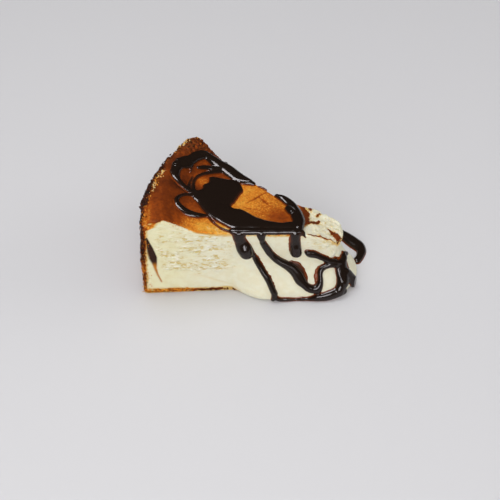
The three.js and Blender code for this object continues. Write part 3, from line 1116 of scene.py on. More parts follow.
@dataclass
class Filling:
    """The pale filling, cut clean near the rim and slumped and curdy at the tip."""

    grid: SliceGrid
    skin_map: SkinMap
    sunk: float = 0.5
    wall_sunk: float = 1.1
    covered_from: Pair = (-0.1, 0.4)
    bare_rise: float = 7.0
    skin_thinned: float = 0.75
    thinned_to: Pair = (1.5, 4.5)
    fluff_height: float = 1.9
    fluff_mix: Place = (0.45, 0.2, -0.1)
    fluff_size: float = 6.0
    crumbly_size: float = 2.2
    heaps: tuple[Spot, ...] = (Spot(99, 28.5, 7, 6, 2), Spot(108.5, 26, 6, 5, 1.5))
    curd_height: float = 0.6
    lump_size: Place = (4.6, 4.6, 1.7)
    pit_size: Place = (2.6, 2.6, 1.1)
    pitted: float = 0.9
    pit_edge: Pair = (0.25, 0.6)
    patch_size: Place = (12, 12, 7)
    pit_shift: float = 40.0
    patch_shift: float = 90.0
    smear_height: float = 0.2
    smear_size: Place = (14, 14, 4)
    side_fluff: float = 0.8
    side_fluff_size: float = 4.0
    fluffy_u: tuple[Pair, Pair] = ((104, 112), (150, 165))
    fluffy_z: Pair = (14, 28)
    curdy_z: Pair = (10, 20)
    rim_calm: float = 0.6
    calm_z: Pair = (40, 46)
    patch_edge: Pair = (-0.35, 0.25)
    least_curdy: float = 0.25
    near_u: tuple[Pair, Pair] = ((5, 14), (42, 60))
    tip_curdy: float = 0.5
    tip_u: Pair = (88, 104)
    tip_z: Pair = (26, 33)
    back_curdy: float = 0.7
    back_u: Pair = (130, 150)
    top_curdy: tuple[tuple[float, Pair], ...] = ((0.35, (92, 100)), (0.3, (94, 102)))
    top_toast: float = 0.7
    side_toast: float = 1.6
    smeared_s: Pair = (12, 42)
    streak: Mark = Mark((
        (4.8, 43.5, 0.4), (5.9, 37.0, 1.5), (6.7, 32.5, 2.1), (7.5, 28.0, 2.3), (8.0, 24.0, 1.5),
        (8.3, 20.0, 0.8), (9.3, 15.0, 0.5), (11.3, 8.8, 0.4),
    ), 0.35)
    streak_depth: float = 0.7
    tail_top: float = 24.0
    # A crease on the near face, pressed in and also painted darker with the toast colour as shade.
    crease: Mark = Mark(((31.0, 14.0, 0.3), (40.0, 10.0, 0.9), (49.0, 6.0, 0.9), (57.0, 2.6, 0.5)), 1.0)
    crease_depth: float = 0.35
    # Share of the toast colour painted along the crease as shade.
    crease_shade: float = 0.2
    near_cut_to: float = 100.0
    side_inset: float = 0.15
    seed: int = 8

    def __post_init__(self) -> None:
        """Draw the noise."""
        self.noise = Noise(self.seed)

    def top(self, s: Array, d: Array) -> Array:
        """Work out the filling's height under the skin and at the bare tip.

        Args:
            s: Distances along the near cut.
            d: Distances in from it.

        Returns:
            Heights.
        """
        form = self.grid.form
        flat = flat_points(s, d)
        fluff = 1 - 2 * np.abs(self.noise.layered(flat, self.fluff_size, 3))
        fine = self.noise.layered(flat, self.crumbly_size, 2)
        bare = smoothstep(s, form.torn_s, form.torn_s + self.bare_rise)
        share_fluff, share_fine, shift = self.fluff_mix
        rough = self.fluff_height * (share_fluff * fluff + share_fine * fine + shift)
        lined = self.skin_map.edge_share(s) * (1 - smoothstep(d, *self.thinned_to))
        skin = form.skin * (1 - self.skin_thinned * lined)
        heaped = sum(spot.at(s, d) for spot in self.heaps)
        return form.smooth_top(s, d) - skin + bare * (form.curds(s, d) + rough + heaped)

    def curd_field(self, points: Array) -> Array:
        """Read the curdy relief that the knife left, flat lumps with pits between them."""
        torn = self.noise.layered(points + self.pit_shift, self.pit_size, 2)
        return self.noise.layered(points, self.lump_size, 3) - self.pitted * smoothstep(torn, *self.pit_edge)

    def curdy_share(self, points: Array, u: Array) -> Array:
        """Tell curdy parts of the cuts (1) from smeared ones (0).

        Args:
            points: Points in the near cut's frame.
            u: Their places round the outline.

        Returns:
            Shares.
        """
        z = points[:, 2]
        high = smoothstep(z, *self.curdy_z) * (1 - self.rim_calm * smoothstep(z, *self.calm_z))
        patches = self.noise.layered(points + self.patch_shift, self.patch_size, 2)
        near = between(self.least_curdy, 1, smoothstep(patches, *self.patch_edge)) * band(u, *self.near_u)
        tip = self.tip_curdy * smoothstep(u, *self.tip_u) * smoothstep(z, *self.tip_z)
        back = self.back_curdy * smoothstep(u, *self.back_u)
        return np.maximum(high * np.maximum(near, back), tip)

    def marks(self, points: Array) -> tuple[Array, ...]:
        """Read the marks of the near cut.

        Args:
            points: Points in the near cut's frame.

        Returns:
            Strengths of the streak, of its thin tail and of the crease.
        """
        s, d, z = points.T
        near_cut = (d < 2) & (s < self.near_cut_to)
        strengths = (self.streak.at(s, z), smoothstep(self.tail_top - z, -1, 3), self.crease.at(s, z))
        return tuple(np.where(near_cut, strength, 0) for strength in strengths)

    def side_relief(self, points: Array, u: Array) -> Array:
        """Work out the relief on the cuts.

        Args:
            points: Points in the near cut's frame.
            u: Their places round the outline.

        Returns:
            Heights along the outward normal.
        """
        curds = self.curd_height * self.curdy_share(points, u) * self.curd_field(points)
        smears = self.smear_height * self.noise.layered(points, self.smear_size, 3)
        fluffy = band(u, *self.fluffy_u) * smoothstep(points[:, 2], *self.fluffy_z)
        fluff = self.side_fluff * fluffy * self.noise.layered(points, self.side_fluff_size, 3)
        streak, _, crease = self.marks(points)
        marked = self.streak_depth * streak + self.crease_depth * crease
        return curds + smears + fluff - marked - self.side_inset

    def build(self, material: Material) -> Object:
        """Make the filling.

        Args:
            material: Its material.

        Returns:
            The piece.
        """
        grid = self.grid
        points = grid.points(self.top, self.side_relief)
        skin = self.skin_map.level(points, grid.u, grid.on_top)
        shape = Shape(points, grid.faces)
        covered = smoothstep(skin, *self.covered_from) * np.where(grid.on_top, 0, 1)
        sunk = self.sunk + self.wall_sunk * grid.surface.outline.wall_share(grid.u)
        shape.points = points - shape.normals() * (sunk * covered)[:, None]
        shape.points[:, 2] = np.maximum(shape.points[:, 2], 0)
        shape.points[: grid.count, 2] = 0
        shape.values = self._values(points, skin)
        placed = kept_in_box(in_part_frame(shape, grid.form.plan))
        return place_piece("filling", placed, Slot.FILLING, material)

    def _values(self, points: Array, skin: Array) -> dict[str, Array]:
        """Work out the values that the filling's colour follows.

        Args:
            points: Points in the near cut's frame.
            skin: Distances in from the skin's edge.

        Returns:
            Each value at each point, by its name.
        """
        s, on_top = points[:, 0], self.grid.on_top
        side = self.curdy_share(points, self.grid.u)
        curd_share, pit_share = (share * smoothstep(s, *span) for share, span in self.top_curdy)
        streak, tail, crease = self.marks(points)
        toasted = 1 - smoothstep(-skin, 0, np.where(on_top, self.top_toast, self.side_toast))
        return {
            # The curd value, with curdy, paints shade into the curds' pits and highlights onto their crests.
            "curd": np.where(on_top, curd_share, side) * np.clip(self.curd_field(points), -1.2, 1.2),
            "curdy": np.where(on_top, pit_share, side),
            "stain": streak,
            "stain_tail": tail,
            # Toast near the skin, plus painted shade along the crease.
            "toast_and_crease_shade": np.clip(toasted + self.crease_shade * crease, 0, 1),
            "smeared": smoothstep(s, *self.smeared_s),
        }


@dataclass(frozen=True)
class Tone:
    """How brown a stretch is, with how much its grit and its height change that."""

    brown: float
    grit: float
    low: float = 0.0

    def at(self, grit: Array, low: Array | float = 0.0) -> Array:
        """Read the browning."""
        return self.brown + self.grit * grit + self.low * low


@dataclass
class BrownedSkin:
    """The browned skin over the top, the rim and the wall, with its crust on the cuts."""

    grid: SliceGrid
    skin_map: SkinMap
    under: HeightMap
    thickness: float = 1.25
    scrap_lift: float = 0.3
    lift: float = 0.3
    lift_reach: float = 1.5
    tear_fade: Pair = (-0.3, 1.2)
    edge_turn: Pair = (-1.2, 0)
    lump: float = 0.22
    lump_size: float = 9.0
    fine: float = 0.1
    fine_size: float = 2.2
    grit: float = 1.3
    grit_size: float = 2.6
    grit_floor: float = -0.35
    gritty_edge: Pair = (2, 6.5)
    corner_grit: float = 0.6
    wall_grit: float = 0.55
    wall_grit_size: float = 2.8
    wall_grit_top: float = 0.8
    middle_brown: float = 0.31
    rim_brown: float = 0.8
    rim_fade: Pair = (22, 54)
    tip_brown: float = 0.5
    tip_from: Pair = (92, 97)
    patch_brown: float = 0.08
    patch_size: float = 11.0
    stroke_size: Place = (3, 16, 5)
    burnt_edge: Pair = (1.5, 4.5)
    burnt_from: Pair = (12, 24)
    near_edge: Pair = (2, 3.8)
    near_until: Pair = (9, 18)
    near_edge_brown: float = 0.6
    low_wall: Pair = (20, 34)
    burnt_tone: Tone = Tone(0.16, 0.5)
    burnt_size: float = 3.0
    corner_tone: Tone = Tone(-0.02, 0.55)
    corner_size: float = 1.4
    wall_tone: Tone = Tone(1.04, 0.36, -0.45)
    wall_patches: float = 0.32
    wall_patch_size: Place = (8, 8, 12)
    wall_speck_size: float = 1.5
    crust_tone: Tone = Tone(1.16, 0.4, -0.42)
    crust_fall: float = 0.4
    crust_full: float = 2.6
    crust_fade: float = 1.9
    base_tone: Tone = Tone(0.88, 0.1)
    base_darkens: Pair = (24, 36)
    golden_base: Pair = (0.8, 0.14)
    golden_grit: Pair = (-0.25, 0.05)
    upper_tone: Tone = Tone(0.32, 0.2)
    upper_z: Pair = (36, 41)
    upper_lap: Pair = (9, 14)
    tip_tone: Tone = Tone(0.78, 0.3)
    tip_lap: tuple[Pair, Pair] = ((106, 112), (126, 132))
    gritty_look: Pair = (2, 7)
    rim_gritty: float = 0.6
    corner_gritty: float = 0.7
    spots: tuple[Spot, ...] = (
        Spot(7, 10, 6.5, 16, -0.2),
        Spot(3, 3, 4, 9, -0.3),
        Spot(33, 70, 12, 9, 0.1),
        Spot(37, 46, 5.5, 5, -0.3),
        Spot(43, 60, 6, 4.5, -0.2),
        Spot(82, 13, 10, 9, 0.33),
        Spot(80, 24, 8, 8, 0.1),
        Spot(47, 2, 14, 6, -0.2),
        Spot(35, 7, 11, 7.5, -0.42),
        Spot(26, 1, 8, 4, -0.2),
        Spot(60, 24, 6, 9, -0.06),
        Spot(66, 40, 8, 6, -0.08),
        Spot(30, 21, 5, 5, -0.16),
        Spot(26.5, 35.5, 5.5, 3.5, 0.3),
        Spot(19, 36, 6, 3, 0.12),
    )
    far_corner: Spot = Spot(33.0, 73.0, 11.0, 9.0, 1.0)
    corner_turn: float = 6.0
    creases: tuple[Mark, ...] = (
        Mark(((62.5, 27.5, 0.2), (68, 32, 0.7), (72, 36, 0.35), (78, 41, 0.2)), 0.5),
        Mark(((70.5, 34, 0.3), (73.5, 29.5, 1.1), (75, 27, 0.4)), 0.9),
        Mark(((60.5, 24, 0.2), (64, 22.5, 0.5), (68.5, 22, 0.2)), 0.5),
    )
    crease_depth: float = 0.25
    # How much darker the skin is drawn along its creases.
    crease_darkening: float = 0.27
    seed: int = 13

    def __post_init__(self) -> None:
        """Draw the noise."""
        self.noise = Noise(self.seed)

    def creased(self, s: Array, d: Array) -> Array:
        """Add up the creases of the top."""
        return sum(mark.at(s, d) for mark in self.creases)

    def top(self, s: Array, d: Array) -> Array:
        """Work out the skin's height.

        Args:
            s: Distances along the near cut.
            d: Distances in from it.

        Returns:
            Heights.
        """
        form = self.grid.form
        flat = flat_points(s, d)
        lumps = self.lump * self.noise.layered(flat, self.lump_size, 2)
        fine = self.fine * self.noise.layered(flat, self.fine_size, 2)
        edge = 1 - smoothstep(form.from_wall(s, d), *self.gritty_edge)
        gritty = np.maximum(edge, self.corner_grit * self.far_corner.at(s, d))
        grit = self.grit * gritty * np.maximum(self.noise.layered(flat, self.grit_size, 3), self.grit_floor)
        inside = self.skin_map.torn(d) - s
        curl = self.lift * np.exp(-np.maximum(inside, 0) / self.lift_reach)
        creased = self.crease_depth * self.creased(s, d)
        height = form.smooth_top(s, d) + lumps + fine + grit - creased + curl
        whole = np.minimum(height, form.rim_height + form.crag)
        return between(whole, self.under(s, d) + self.scrap_lift, smoothstep(-inside, *self.tear_fade))

    def side_relief(self, points: Array, u: Array) -> Array:
        """Work out the grit of the wall and the crust's edges, none of it out of the form."""
        coarse = self.noise.layered(points, self.wall_grit_size, 3)
        return self.wall_grit * (np.minimum(coarse, self.wall_grit_top) - self.wall_grit_top)

    def brown(self, points: Array) -> Array:
        """Work out how brown the top is.

        Args:
            points: Points in the near cut's frame.

        Returns:
            Browning, 0 pale to about 1.2 burnt.
        """
        s, d = points[:, 0], points[:, 1]
        flat = flat_points(s, d)
        from_wall = self.grid.form.from_wall(s, d)
        corner = self.far_corner.at(s, d)
        rim = 1 - smoothstep(from_wall, *self.rim_fade)
        brown = between(self.middle_brown, self.rim_brown, rim) + sum(spot.at(s, d) for spot in self.spots)
        brown = brown + self.patch_brown * self.noise.layered(flat, self.patch_size, 3)
        brown = brown + self.patch_brown * rim * self.noise.layered(flat, self.stroke_size, 2)
        brown = brown + self.tip_brown * smoothstep(s, *self.tip_from)
        burnt = (1 - smoothstep(from_wall, *self.burnt_edge)) * smoothstep(d, *self.burnt_from) * (1 - corner)
        brown = brown + burnt * self.burnt_tone.at(self.noise.layered(flat, self.burnt_size, 2))
        brown = brown + corner * self.corner_tone.at(self.noise.layered(flat, self.corner_size, 2))
        near_rim = (1 - smoothstep(from_wall, *self.near_edge)) * (1 - smoothstep(d, *self.near_until))
        # The skin is drawn darker along its creases.
        return brown + self.near_edge_brown * near_rim + self.crease_darkening * self.creased(s, d)

    def edge_brown(self, points: Array, u: Array) -> Array:
        """Work out how brown the wall and the crust on the cuts are.

        Args:
            points: Points in the near cut's frame.
            u: Places round the outline.

        Returns:
            Browning.
        """
        outline = self.grid.surface.outline
        z = points[:, 2]
        patches = self.noise.layered(points, self.wall_patch_size, 3)
        grit = self.noise.layered(points, self.wall_speck_size, 2)
        low = 1 - smoothstep(z, *self.low_wall)
        wall = self.wall_tone.at(grit, low) + self.wall_patches * patches
        lap = np.where(u > outline.total - self.corner_turn, u - outline.total, u)
        fall = self.crust_fall * np.clip(lap - self.crust_full, 0, self.crust_fade)
        golden = between(*self.golden_base, smoothstep(grit, *self.golden_grit))
        base = between(golden, self.base_tone.at(grit), smoothstep(lap, *self.base_darkens))
        cut = np.where(z < self.skin_map.base_height + 1, base, self.crust_tone.at(grit, low) - fall)
        upper = smoothstep(z, *self.upper_z) * smoothstep(lap, *self.upper_lap)
        cut = between(cut, self.upper_tone.at(grit), upper)
        cut = between(cut, self.tip_tone.at(grit), band(lap, *self.tip_lap))
        return between(cut, wall, outline.wall_share(u))

    def _grit_share(self, points: Array) -> Array:
        """Tell the gritty rim (1) from the smooth top."""
        edge = 1 - smoothstep(self.grid.form.from_wall(*points.T[:2]), *self.gritty_look)
        return np.maximum(self.rim_gritty * edge, self.corner_gritty * self.far_corner.at(*points.T[:2]))

    def build(self, material: Material) -> Object:
        """Make the skin.

        Args:
            material: Its material.

        Returns:
            The piece.
        """
        grid, form, outline = self.grid, self.grid.form, self.grid.surface.outline
        points = grid.points(self.top, self.side_relief)
        level = self.skin_map.level(points, grid.u, grid.on_top)
        level[-1] = -1.0
        plan = outline.point(grid.u)
        edge_height = form.top(plan[:, 0], plan[:, 1]) - form.edge_drop
        over = np.where(grid.on_top, 1.0, smoothstep(points[:, 2] - edge_height, *self.edge_turn))
        whole = Shape(points, grid.faces)
        whole.values = {
            "brown": between(self.edge_brown(points, grid.u), self.brown(points), over),
            "inside": np.clip(level, -1, 4),
            "gritty": np.where(grid.on_top, self._grit_share(points), outline.wall_share(grid.u)),
            "outward": whole.normals(),
        }
        sheet = whole.kept_where(level)
        solid = sheet.thickened(unit(sheet.values.pop("outward")), self.thickness)
        return place_piece("browned_skin", kept_in_box(in_part_frame(solid, form.plan)), Slot.SKIN, material)


# Crumbs


@dataclass(frozen=True)
class CrumbPatch:
    """A stretch of the slice with loose crumbs on it."""

    kind: Crumb
    count: int
    u: Pair
    v: Pair
    size: Pair
    from_plate: bool = False
    clumps: int = 0


@dataclass
class Crumbs:
    """Crumbs of crust along the rim, on the crust's edges and on the torn skin."""

    surface: SliceSurface
    patches: tuple[CrumbPatch, ...] = (
        CrumbPatch(Crumb.BURNT, 420, (238, 327), (-2, 2.2), (0.3, 1.2)),
        CrumbPatch(Crumb.BURNT, 90, (276, 296), (-1, 3.6), (0.5, 1.8), clumps=12),
        CrumbPatch(Crumb.BURNT, 150, (297, 313), (-1.5, 3.8), (0.9, 2.6)),
        CrumbPatch(Crumb.PALE, 90, (280, 302), (3.4, 5.4), (0.3, 1.2), clumps=14),
        CrumbPatch(Crumb.GOLDEN, 90, (284, 315), (3, 5.6), (0.3, 1.1), clumps=18),
        CrumbPatch(Crumb.GOLDEN, 150, (296, 329), (-4, 4), (0.25, 0.8)),
        CrumbPatch(Crumb.BROWN, 300, (212, 247), (-1, 8), (0.3, 0.95)),
        CrumbPatch(Crumb.BURNT, 90, (212, 247), (-1, 3), (0.3, 1.1), clumps=20),
        CrumbPatch(Crumb.PALE, 80, (243, 258), (-1, 2.8), (0.3, 1.3), clumps=14),
        CrumbPatch(Crumb.GOLDEN, 110, (330.5, 334), (-50, -1), (0.2, 0.6)),
        CrumbPatch(Crumb.BURNT, 220, (325.5, 332), (-50, -1), (0.2, 0.7)),
        CrumbPatch(Crumb.GOLDEN, 170, (3, 28), (0.6, 3.6), (0.25, 0.8), True),
        CrumbPatch(Crumb.BURNT, 110, (3, 54), (0.3, 1.8), (0.2, 0.6), True),
        CrumbPatch(Crumb.GOLDEN, 170, (234, 262), (-2.5, 2.5), (0.3, 1.1)),
        CrumbPatch(Crumb.GOLDEN, 60, (12, 46), (0.2, 3.4), (0.15, 0.5)),
        CrumbPatch(Crumb.BROWN, 50, (112, 124), (-1.5, 2.5), (0.15, 0.6)),
        CrumbPatch(Crumb.BURNT, 60, (321, 330.5), (-26, -4), (0.7, 1.7), clumps=16),
        CrumbPatch(Crumb.BROWN, 70, (320, 331), (-28, -1), (0.5, 1.4)),
        CrumbPatch(Crumb.GOLDEN, 150, (322, 331.5), (-52, -20), (0.3, 1.1)),
        CrumbPatch(Crumb.PALE, 50, (325, 332), (-52, -22), (0.25, 0.8)),
        CrumbPatch(Crumb.BURNT, 80, (312, 330), (-2.5, 1), (0.5, 1.4)),
    )
    clump_reach: float = 0.8
    stretches: Pair = (0.6, 1.4)
    bumps: Pair = (0.7, 1.25)
    tones: Pair = (-0.08, 0.08)
    seed: int = 3

    def build(self, material: Material) -> Object:
        """Make the crumbs as one mesh.

        Args:
            material: Their material.

        Returns:
            The piece.
        """
        rng = np.random.default_rng(self.seed)
        ball = unit_ball()
        crumbs = joined([self._patch(patch, ball, rng) for patch in self.patches])
        placed = kept_in_box(in_part_frame(crumbs, self.surface.form.plan))
        return place_piece("crumbs", placed, Slot.SKIN, material)

    def _patch(self, patch: CrumbPatch, ball: Shape, rng: np.random.Generator) -> Shape:
        """Scatter the crumbs of one patch.

        Args:
            patch: The stretch and its crumbs.
            ball: A small ball.
            rng: Source of the random draws.

        Returns:
            Their mesh.
        """
        u = rng.uniform(*patch.u, patch.count)
        v = rng.uniform(*patch.v, patch.count)
        if patch.clumps:
            near = rng.integers(0, patch.clumps, patch.count)
            u = u[near] + rng.normal(0, self.clump_reach, patch.count)
            v = v[near] + rng.normal(0, self.clump_reach, patch.count)
        size = between(*patch.size, rng.random(patch.count) ** 2)
        if patch.from_plate:
            edge = self.surface.outline.point(u)
            v = v - self.surface.form.top(edge[:, 0], edge[:, 1])
        centre = self.surface.at(u, v)
        stretch = rng.uniform(*self.stretches, (patch.count, 1, 3))
        bumps = rng.uniform(*self.bumps, (patch.count, len(ball.points), 1))
        grains = centre[:, None] + ball.points[None] * bumps * stretch * size[:, None, None] / 2
        start = np.arange(patch.count)[:, None, None] * len(ball.points)
        tone = patch.kind.value + rng.uniform(*self.tones, patch.count)
        values = {"brown": np.repeat(tone, len(ball.points))}
        return Shape(grains.reshape(-1, 3), (ball.faces[None] + start).reshape(-1, 3), values)


def unit_ball() -> Shape:
    """Make an icosahedron of radius 1."""
    golden = (1 + math.sqrt(5)) / 2
    points = []
    for a, b in itertools.product((-1, 1), (-golden, golden)):
        points += [(0, a, b), (a, b, 0), (b, 0, a)]
    points = unit(np.array(points, float))
    apart = np.linalg.norm(points[:, None] - points[None], axis=2)
    side = np.min(apart[apart > 0.1]) * 1.01
    faces = []
    for a, b, c in itertools.combinations(range(len(points)), 3):
        if max(apart[a, b], apart[b, c], apart[a, c]) < side:
            outward = np.dot(np.cross(points[b] - points[a], points[c] - points[a]), points[a]) > 0
            faces.append((a, b, c) if outward else (a, c, b))
    return Shape(points, np.array(faces))


# Sauce


@dataclass
class Strand:
    """Sauce laid along a route of two places and a width."""

    route: tuple[Place, ...] | Array
    surface: SliceSurface | PlateSurface
    heights: Pair = (2.6, 2.6)
    fullness: float = 0.5
    foot: float = 0.7
    sink: float = 1.8
    step: float = 0.7
    arc_points: int = 13
    end_rings: int = 5
    swell: Pair = (0.5, 0.78)
    wobble: float = 0.08
    wobble_size: float = 8.0
    ragged: float = 0.0
    ragged_size: float = 1.2
    side_shift: float = 20.0
    noise_height: float = 7.0
    span_points: int = 24
    nose: float = 0.003
    under: Place = (-0.6, 0, 0.6)
    normal_reach: float = 1.2
    stretch_reach: float = 0.6
    seed: int = 40

    def centreline(self) -> Array:
        """Draw a smooth curve through the route, as places and widths at even steps."""
        knots = np.array(self.route, float)
        padded = np.concatenate([[2 * knots[0] - knots[1]], knots, [2 * knots[-1] - knots[-2]]])
        spans = [self._span(padded[k : k + 4]) for k in range(len(knots) - 1)]
        curve = np.concatenate([*spans, knots[-1:]])
        length = np.concatenate([[0], np.cumsum(np.linalg.norm(np.diff(curve, axis=0), axis=1))])
        even = np.linspace(0, length[-1], max(4, round(length[-1] / self.step)) + 1)
        return np.stack([np.interp(even, length, curve[:, axis]) for axis in range(3)], axis=1)

    def _span(self, knots: Array) -> Array:
        """Draw one span of a centripetal Catmull-Rom curve.

        Args:
            knots: The knot before the span, its two ends and the knot after it.

        Returns:
            Points along it, without the last.
        """
        gaps = [math.sqrt(max(np.linalg.norm(b - a), 1e-6)) for a, b in itertools.pairwise(knots)]
        times = np.concatenate([[0], np.cumsum(gaps)])
        t = np.linspace(times[1], times[2], self.span_points, endpoint=False)[:, None]

        def blended(first: Array, second: Array, start: int, end: int) -> Array:
            """Go from one curve to the next between two of the knots' times."""
            length = times[end] - times[start]
            return (times[end] - t) / length * first + (t - times[start]) / length * second

        lines = [blended(knots[k], knots[k + 1], k, k + 1) for k in range(3)]
        bends = [blended(lines[k], lines[k + 1], k, k + 2) for k in range(2)]
        return blended(*bends, 1, 2)

    def _slopes(self, a: Array, b: Array, reach: float) -> tuple[Array, Array]:
        """Step over the surface from one side of each place to the other, along a and along b."""
        at = self.surface.at
        return at(a + reach, b) - at(a - reach, b), at(a, b + reach) - at(a, b - reach)

    def _place(self, a: Array, b: Array, up: Array) -> Array:
        """Find points above the surface, by heights along its normal."""
        normal = unit(np.cross(*self._slopes(a, b, self.normal_reach)))
        return self.surface.at(a, b) + normal * up[..., None]

    def _stretch(self, a: Array, b: Array) -> tuple[Array, ...]:
        """Measure how long a unit step along a and along b is on the surface."""
        steps = self._slopes(a, b, self.stretch_reach)
        return tuple(np.linalg.norm(step, axis=-1) / (2 * self.stretch_reach) for step in steps)

    def build(self) -> Shape:
        """Make the strand as one closed mesh."""
        line = self.centreline()
        noise = Noise(self.seed)
        ends = np.sin(np.linspace(0, 0.5 * math.pi, self.end_rings + 1))[1:]
        first_way = unit((line[0] - line[1])[:2])
        last_way = unit((line[-1] - line[-2])[:2])
        head = [self._past(line[0], first_way, share) for share in ends[::-1]]
        tail = [self._past(line[-1], last_way, share) for share in ends]
        rings = np.array([*head, *line, *tail])
        way = np.gradient(rings[:, :2], axis=0)
        place = np.column_stack([rings[:, :2], np.full(len(rings), self.noise_height)])
        width = rings[:, 2] * (1 + self.wobble * noise.layered(place, self.wobble_size, 2))
        shifts = (place - self.side_shift, place + self.side_shift)
        sides = [self.ragged * noise.layered(shifted, self.ragged_size, 2) for shifted in shifts]
        return self._loft(rings, way, *(0.5 * width * (1 + side) for side in sides))

    def _past(self, last: Array, way: Array, share: float) -> Array:
        """Narrow the strand past its last place, by a share of the way to its nose."""
        width = last[2] * math.sqrt(max(1 - share**2, self.nose))
        return np.array([*(last[:2] + way * 0.5 * last[2] * share), width])

    def _loft(self, rings: Array, way: Array, left: Array, right: Array) -> Shape:
        """Place the rings and join them.

        Args:
            rings: Places and widths.
            way: Directions of the strand.
            left: Half widths to its left.
            right: Half widths to its right.

        Returns:
            A closed mesh.
        """
        stretch_a, stretch_b = self._stretch(rings[:, 0], rings[:, 1])
        size = np.hypot(way[:, 0] * stretch_a, way[:, 1] * stretch_b)
        across_a = -way[:, 1] * stretch_b / size / stretch_a
        across_b = way[:, 0] * stretch_a / size / stretch_b
        turn = np.linspace(0, math.pi, self.arc_points)
        share = np.cos(turn)
        half = np.where(share[None] > 0, right[:, None], left[:, None])
        along = np.linspace(0, 1, len(rings))
        most = between(*self.heights, smoothstep(along, *self.swell))
        height = np.minimum(self.fullness * (left + right), most)
        up = (height[:, None] + self.foot) * np.sin(turn)[None] - self.foot
        under = np.array(self.under)
        across = np.concatenate([share[None] * half, under[None] * half[:, :1]], axis=1)
        lower = np.repeat(-self.sink * np.minimum(1, (left + right) / 2)[:, None], len(under), axis=1)
        a = rings[:, :1] + across_a[:, None] * across
        b = rings[:, 1:2] + across_b[:, None] * across
        return closed_loft(self._place(a, b, np.concatenate([up, lower], axis=1)))


def closed_loft(rings: Array) -> Shape:
    """Join rings of points and close both ends.

    Args:
        rings: Points, as rings by corners by axes.

    Returns:
        A closed mesh.
    """
    steps, count = len(rings) - 1, rings.shape[1]
    size = len(rings) * count
    head = fan_faces(size, 0, count)
    tail = fan_faces(size + 1, size - count, count)[:, [0, 2, 1]]
    points = np.concatenate([rings.reshape(-1, 3), [rings[0].mean(axis=0)], [rings[-1].mean(axis=0)]])
    faces = np.concatenate([tube_faces(steps, count), head, tail])
    a, b, c = (points[faces[:, k]] for k in range(3))
    inside_out = np.sum(np.cross(a, b) * c) < 0
    return Shape(points, faces[:, ::-1] if inside_out else faces)


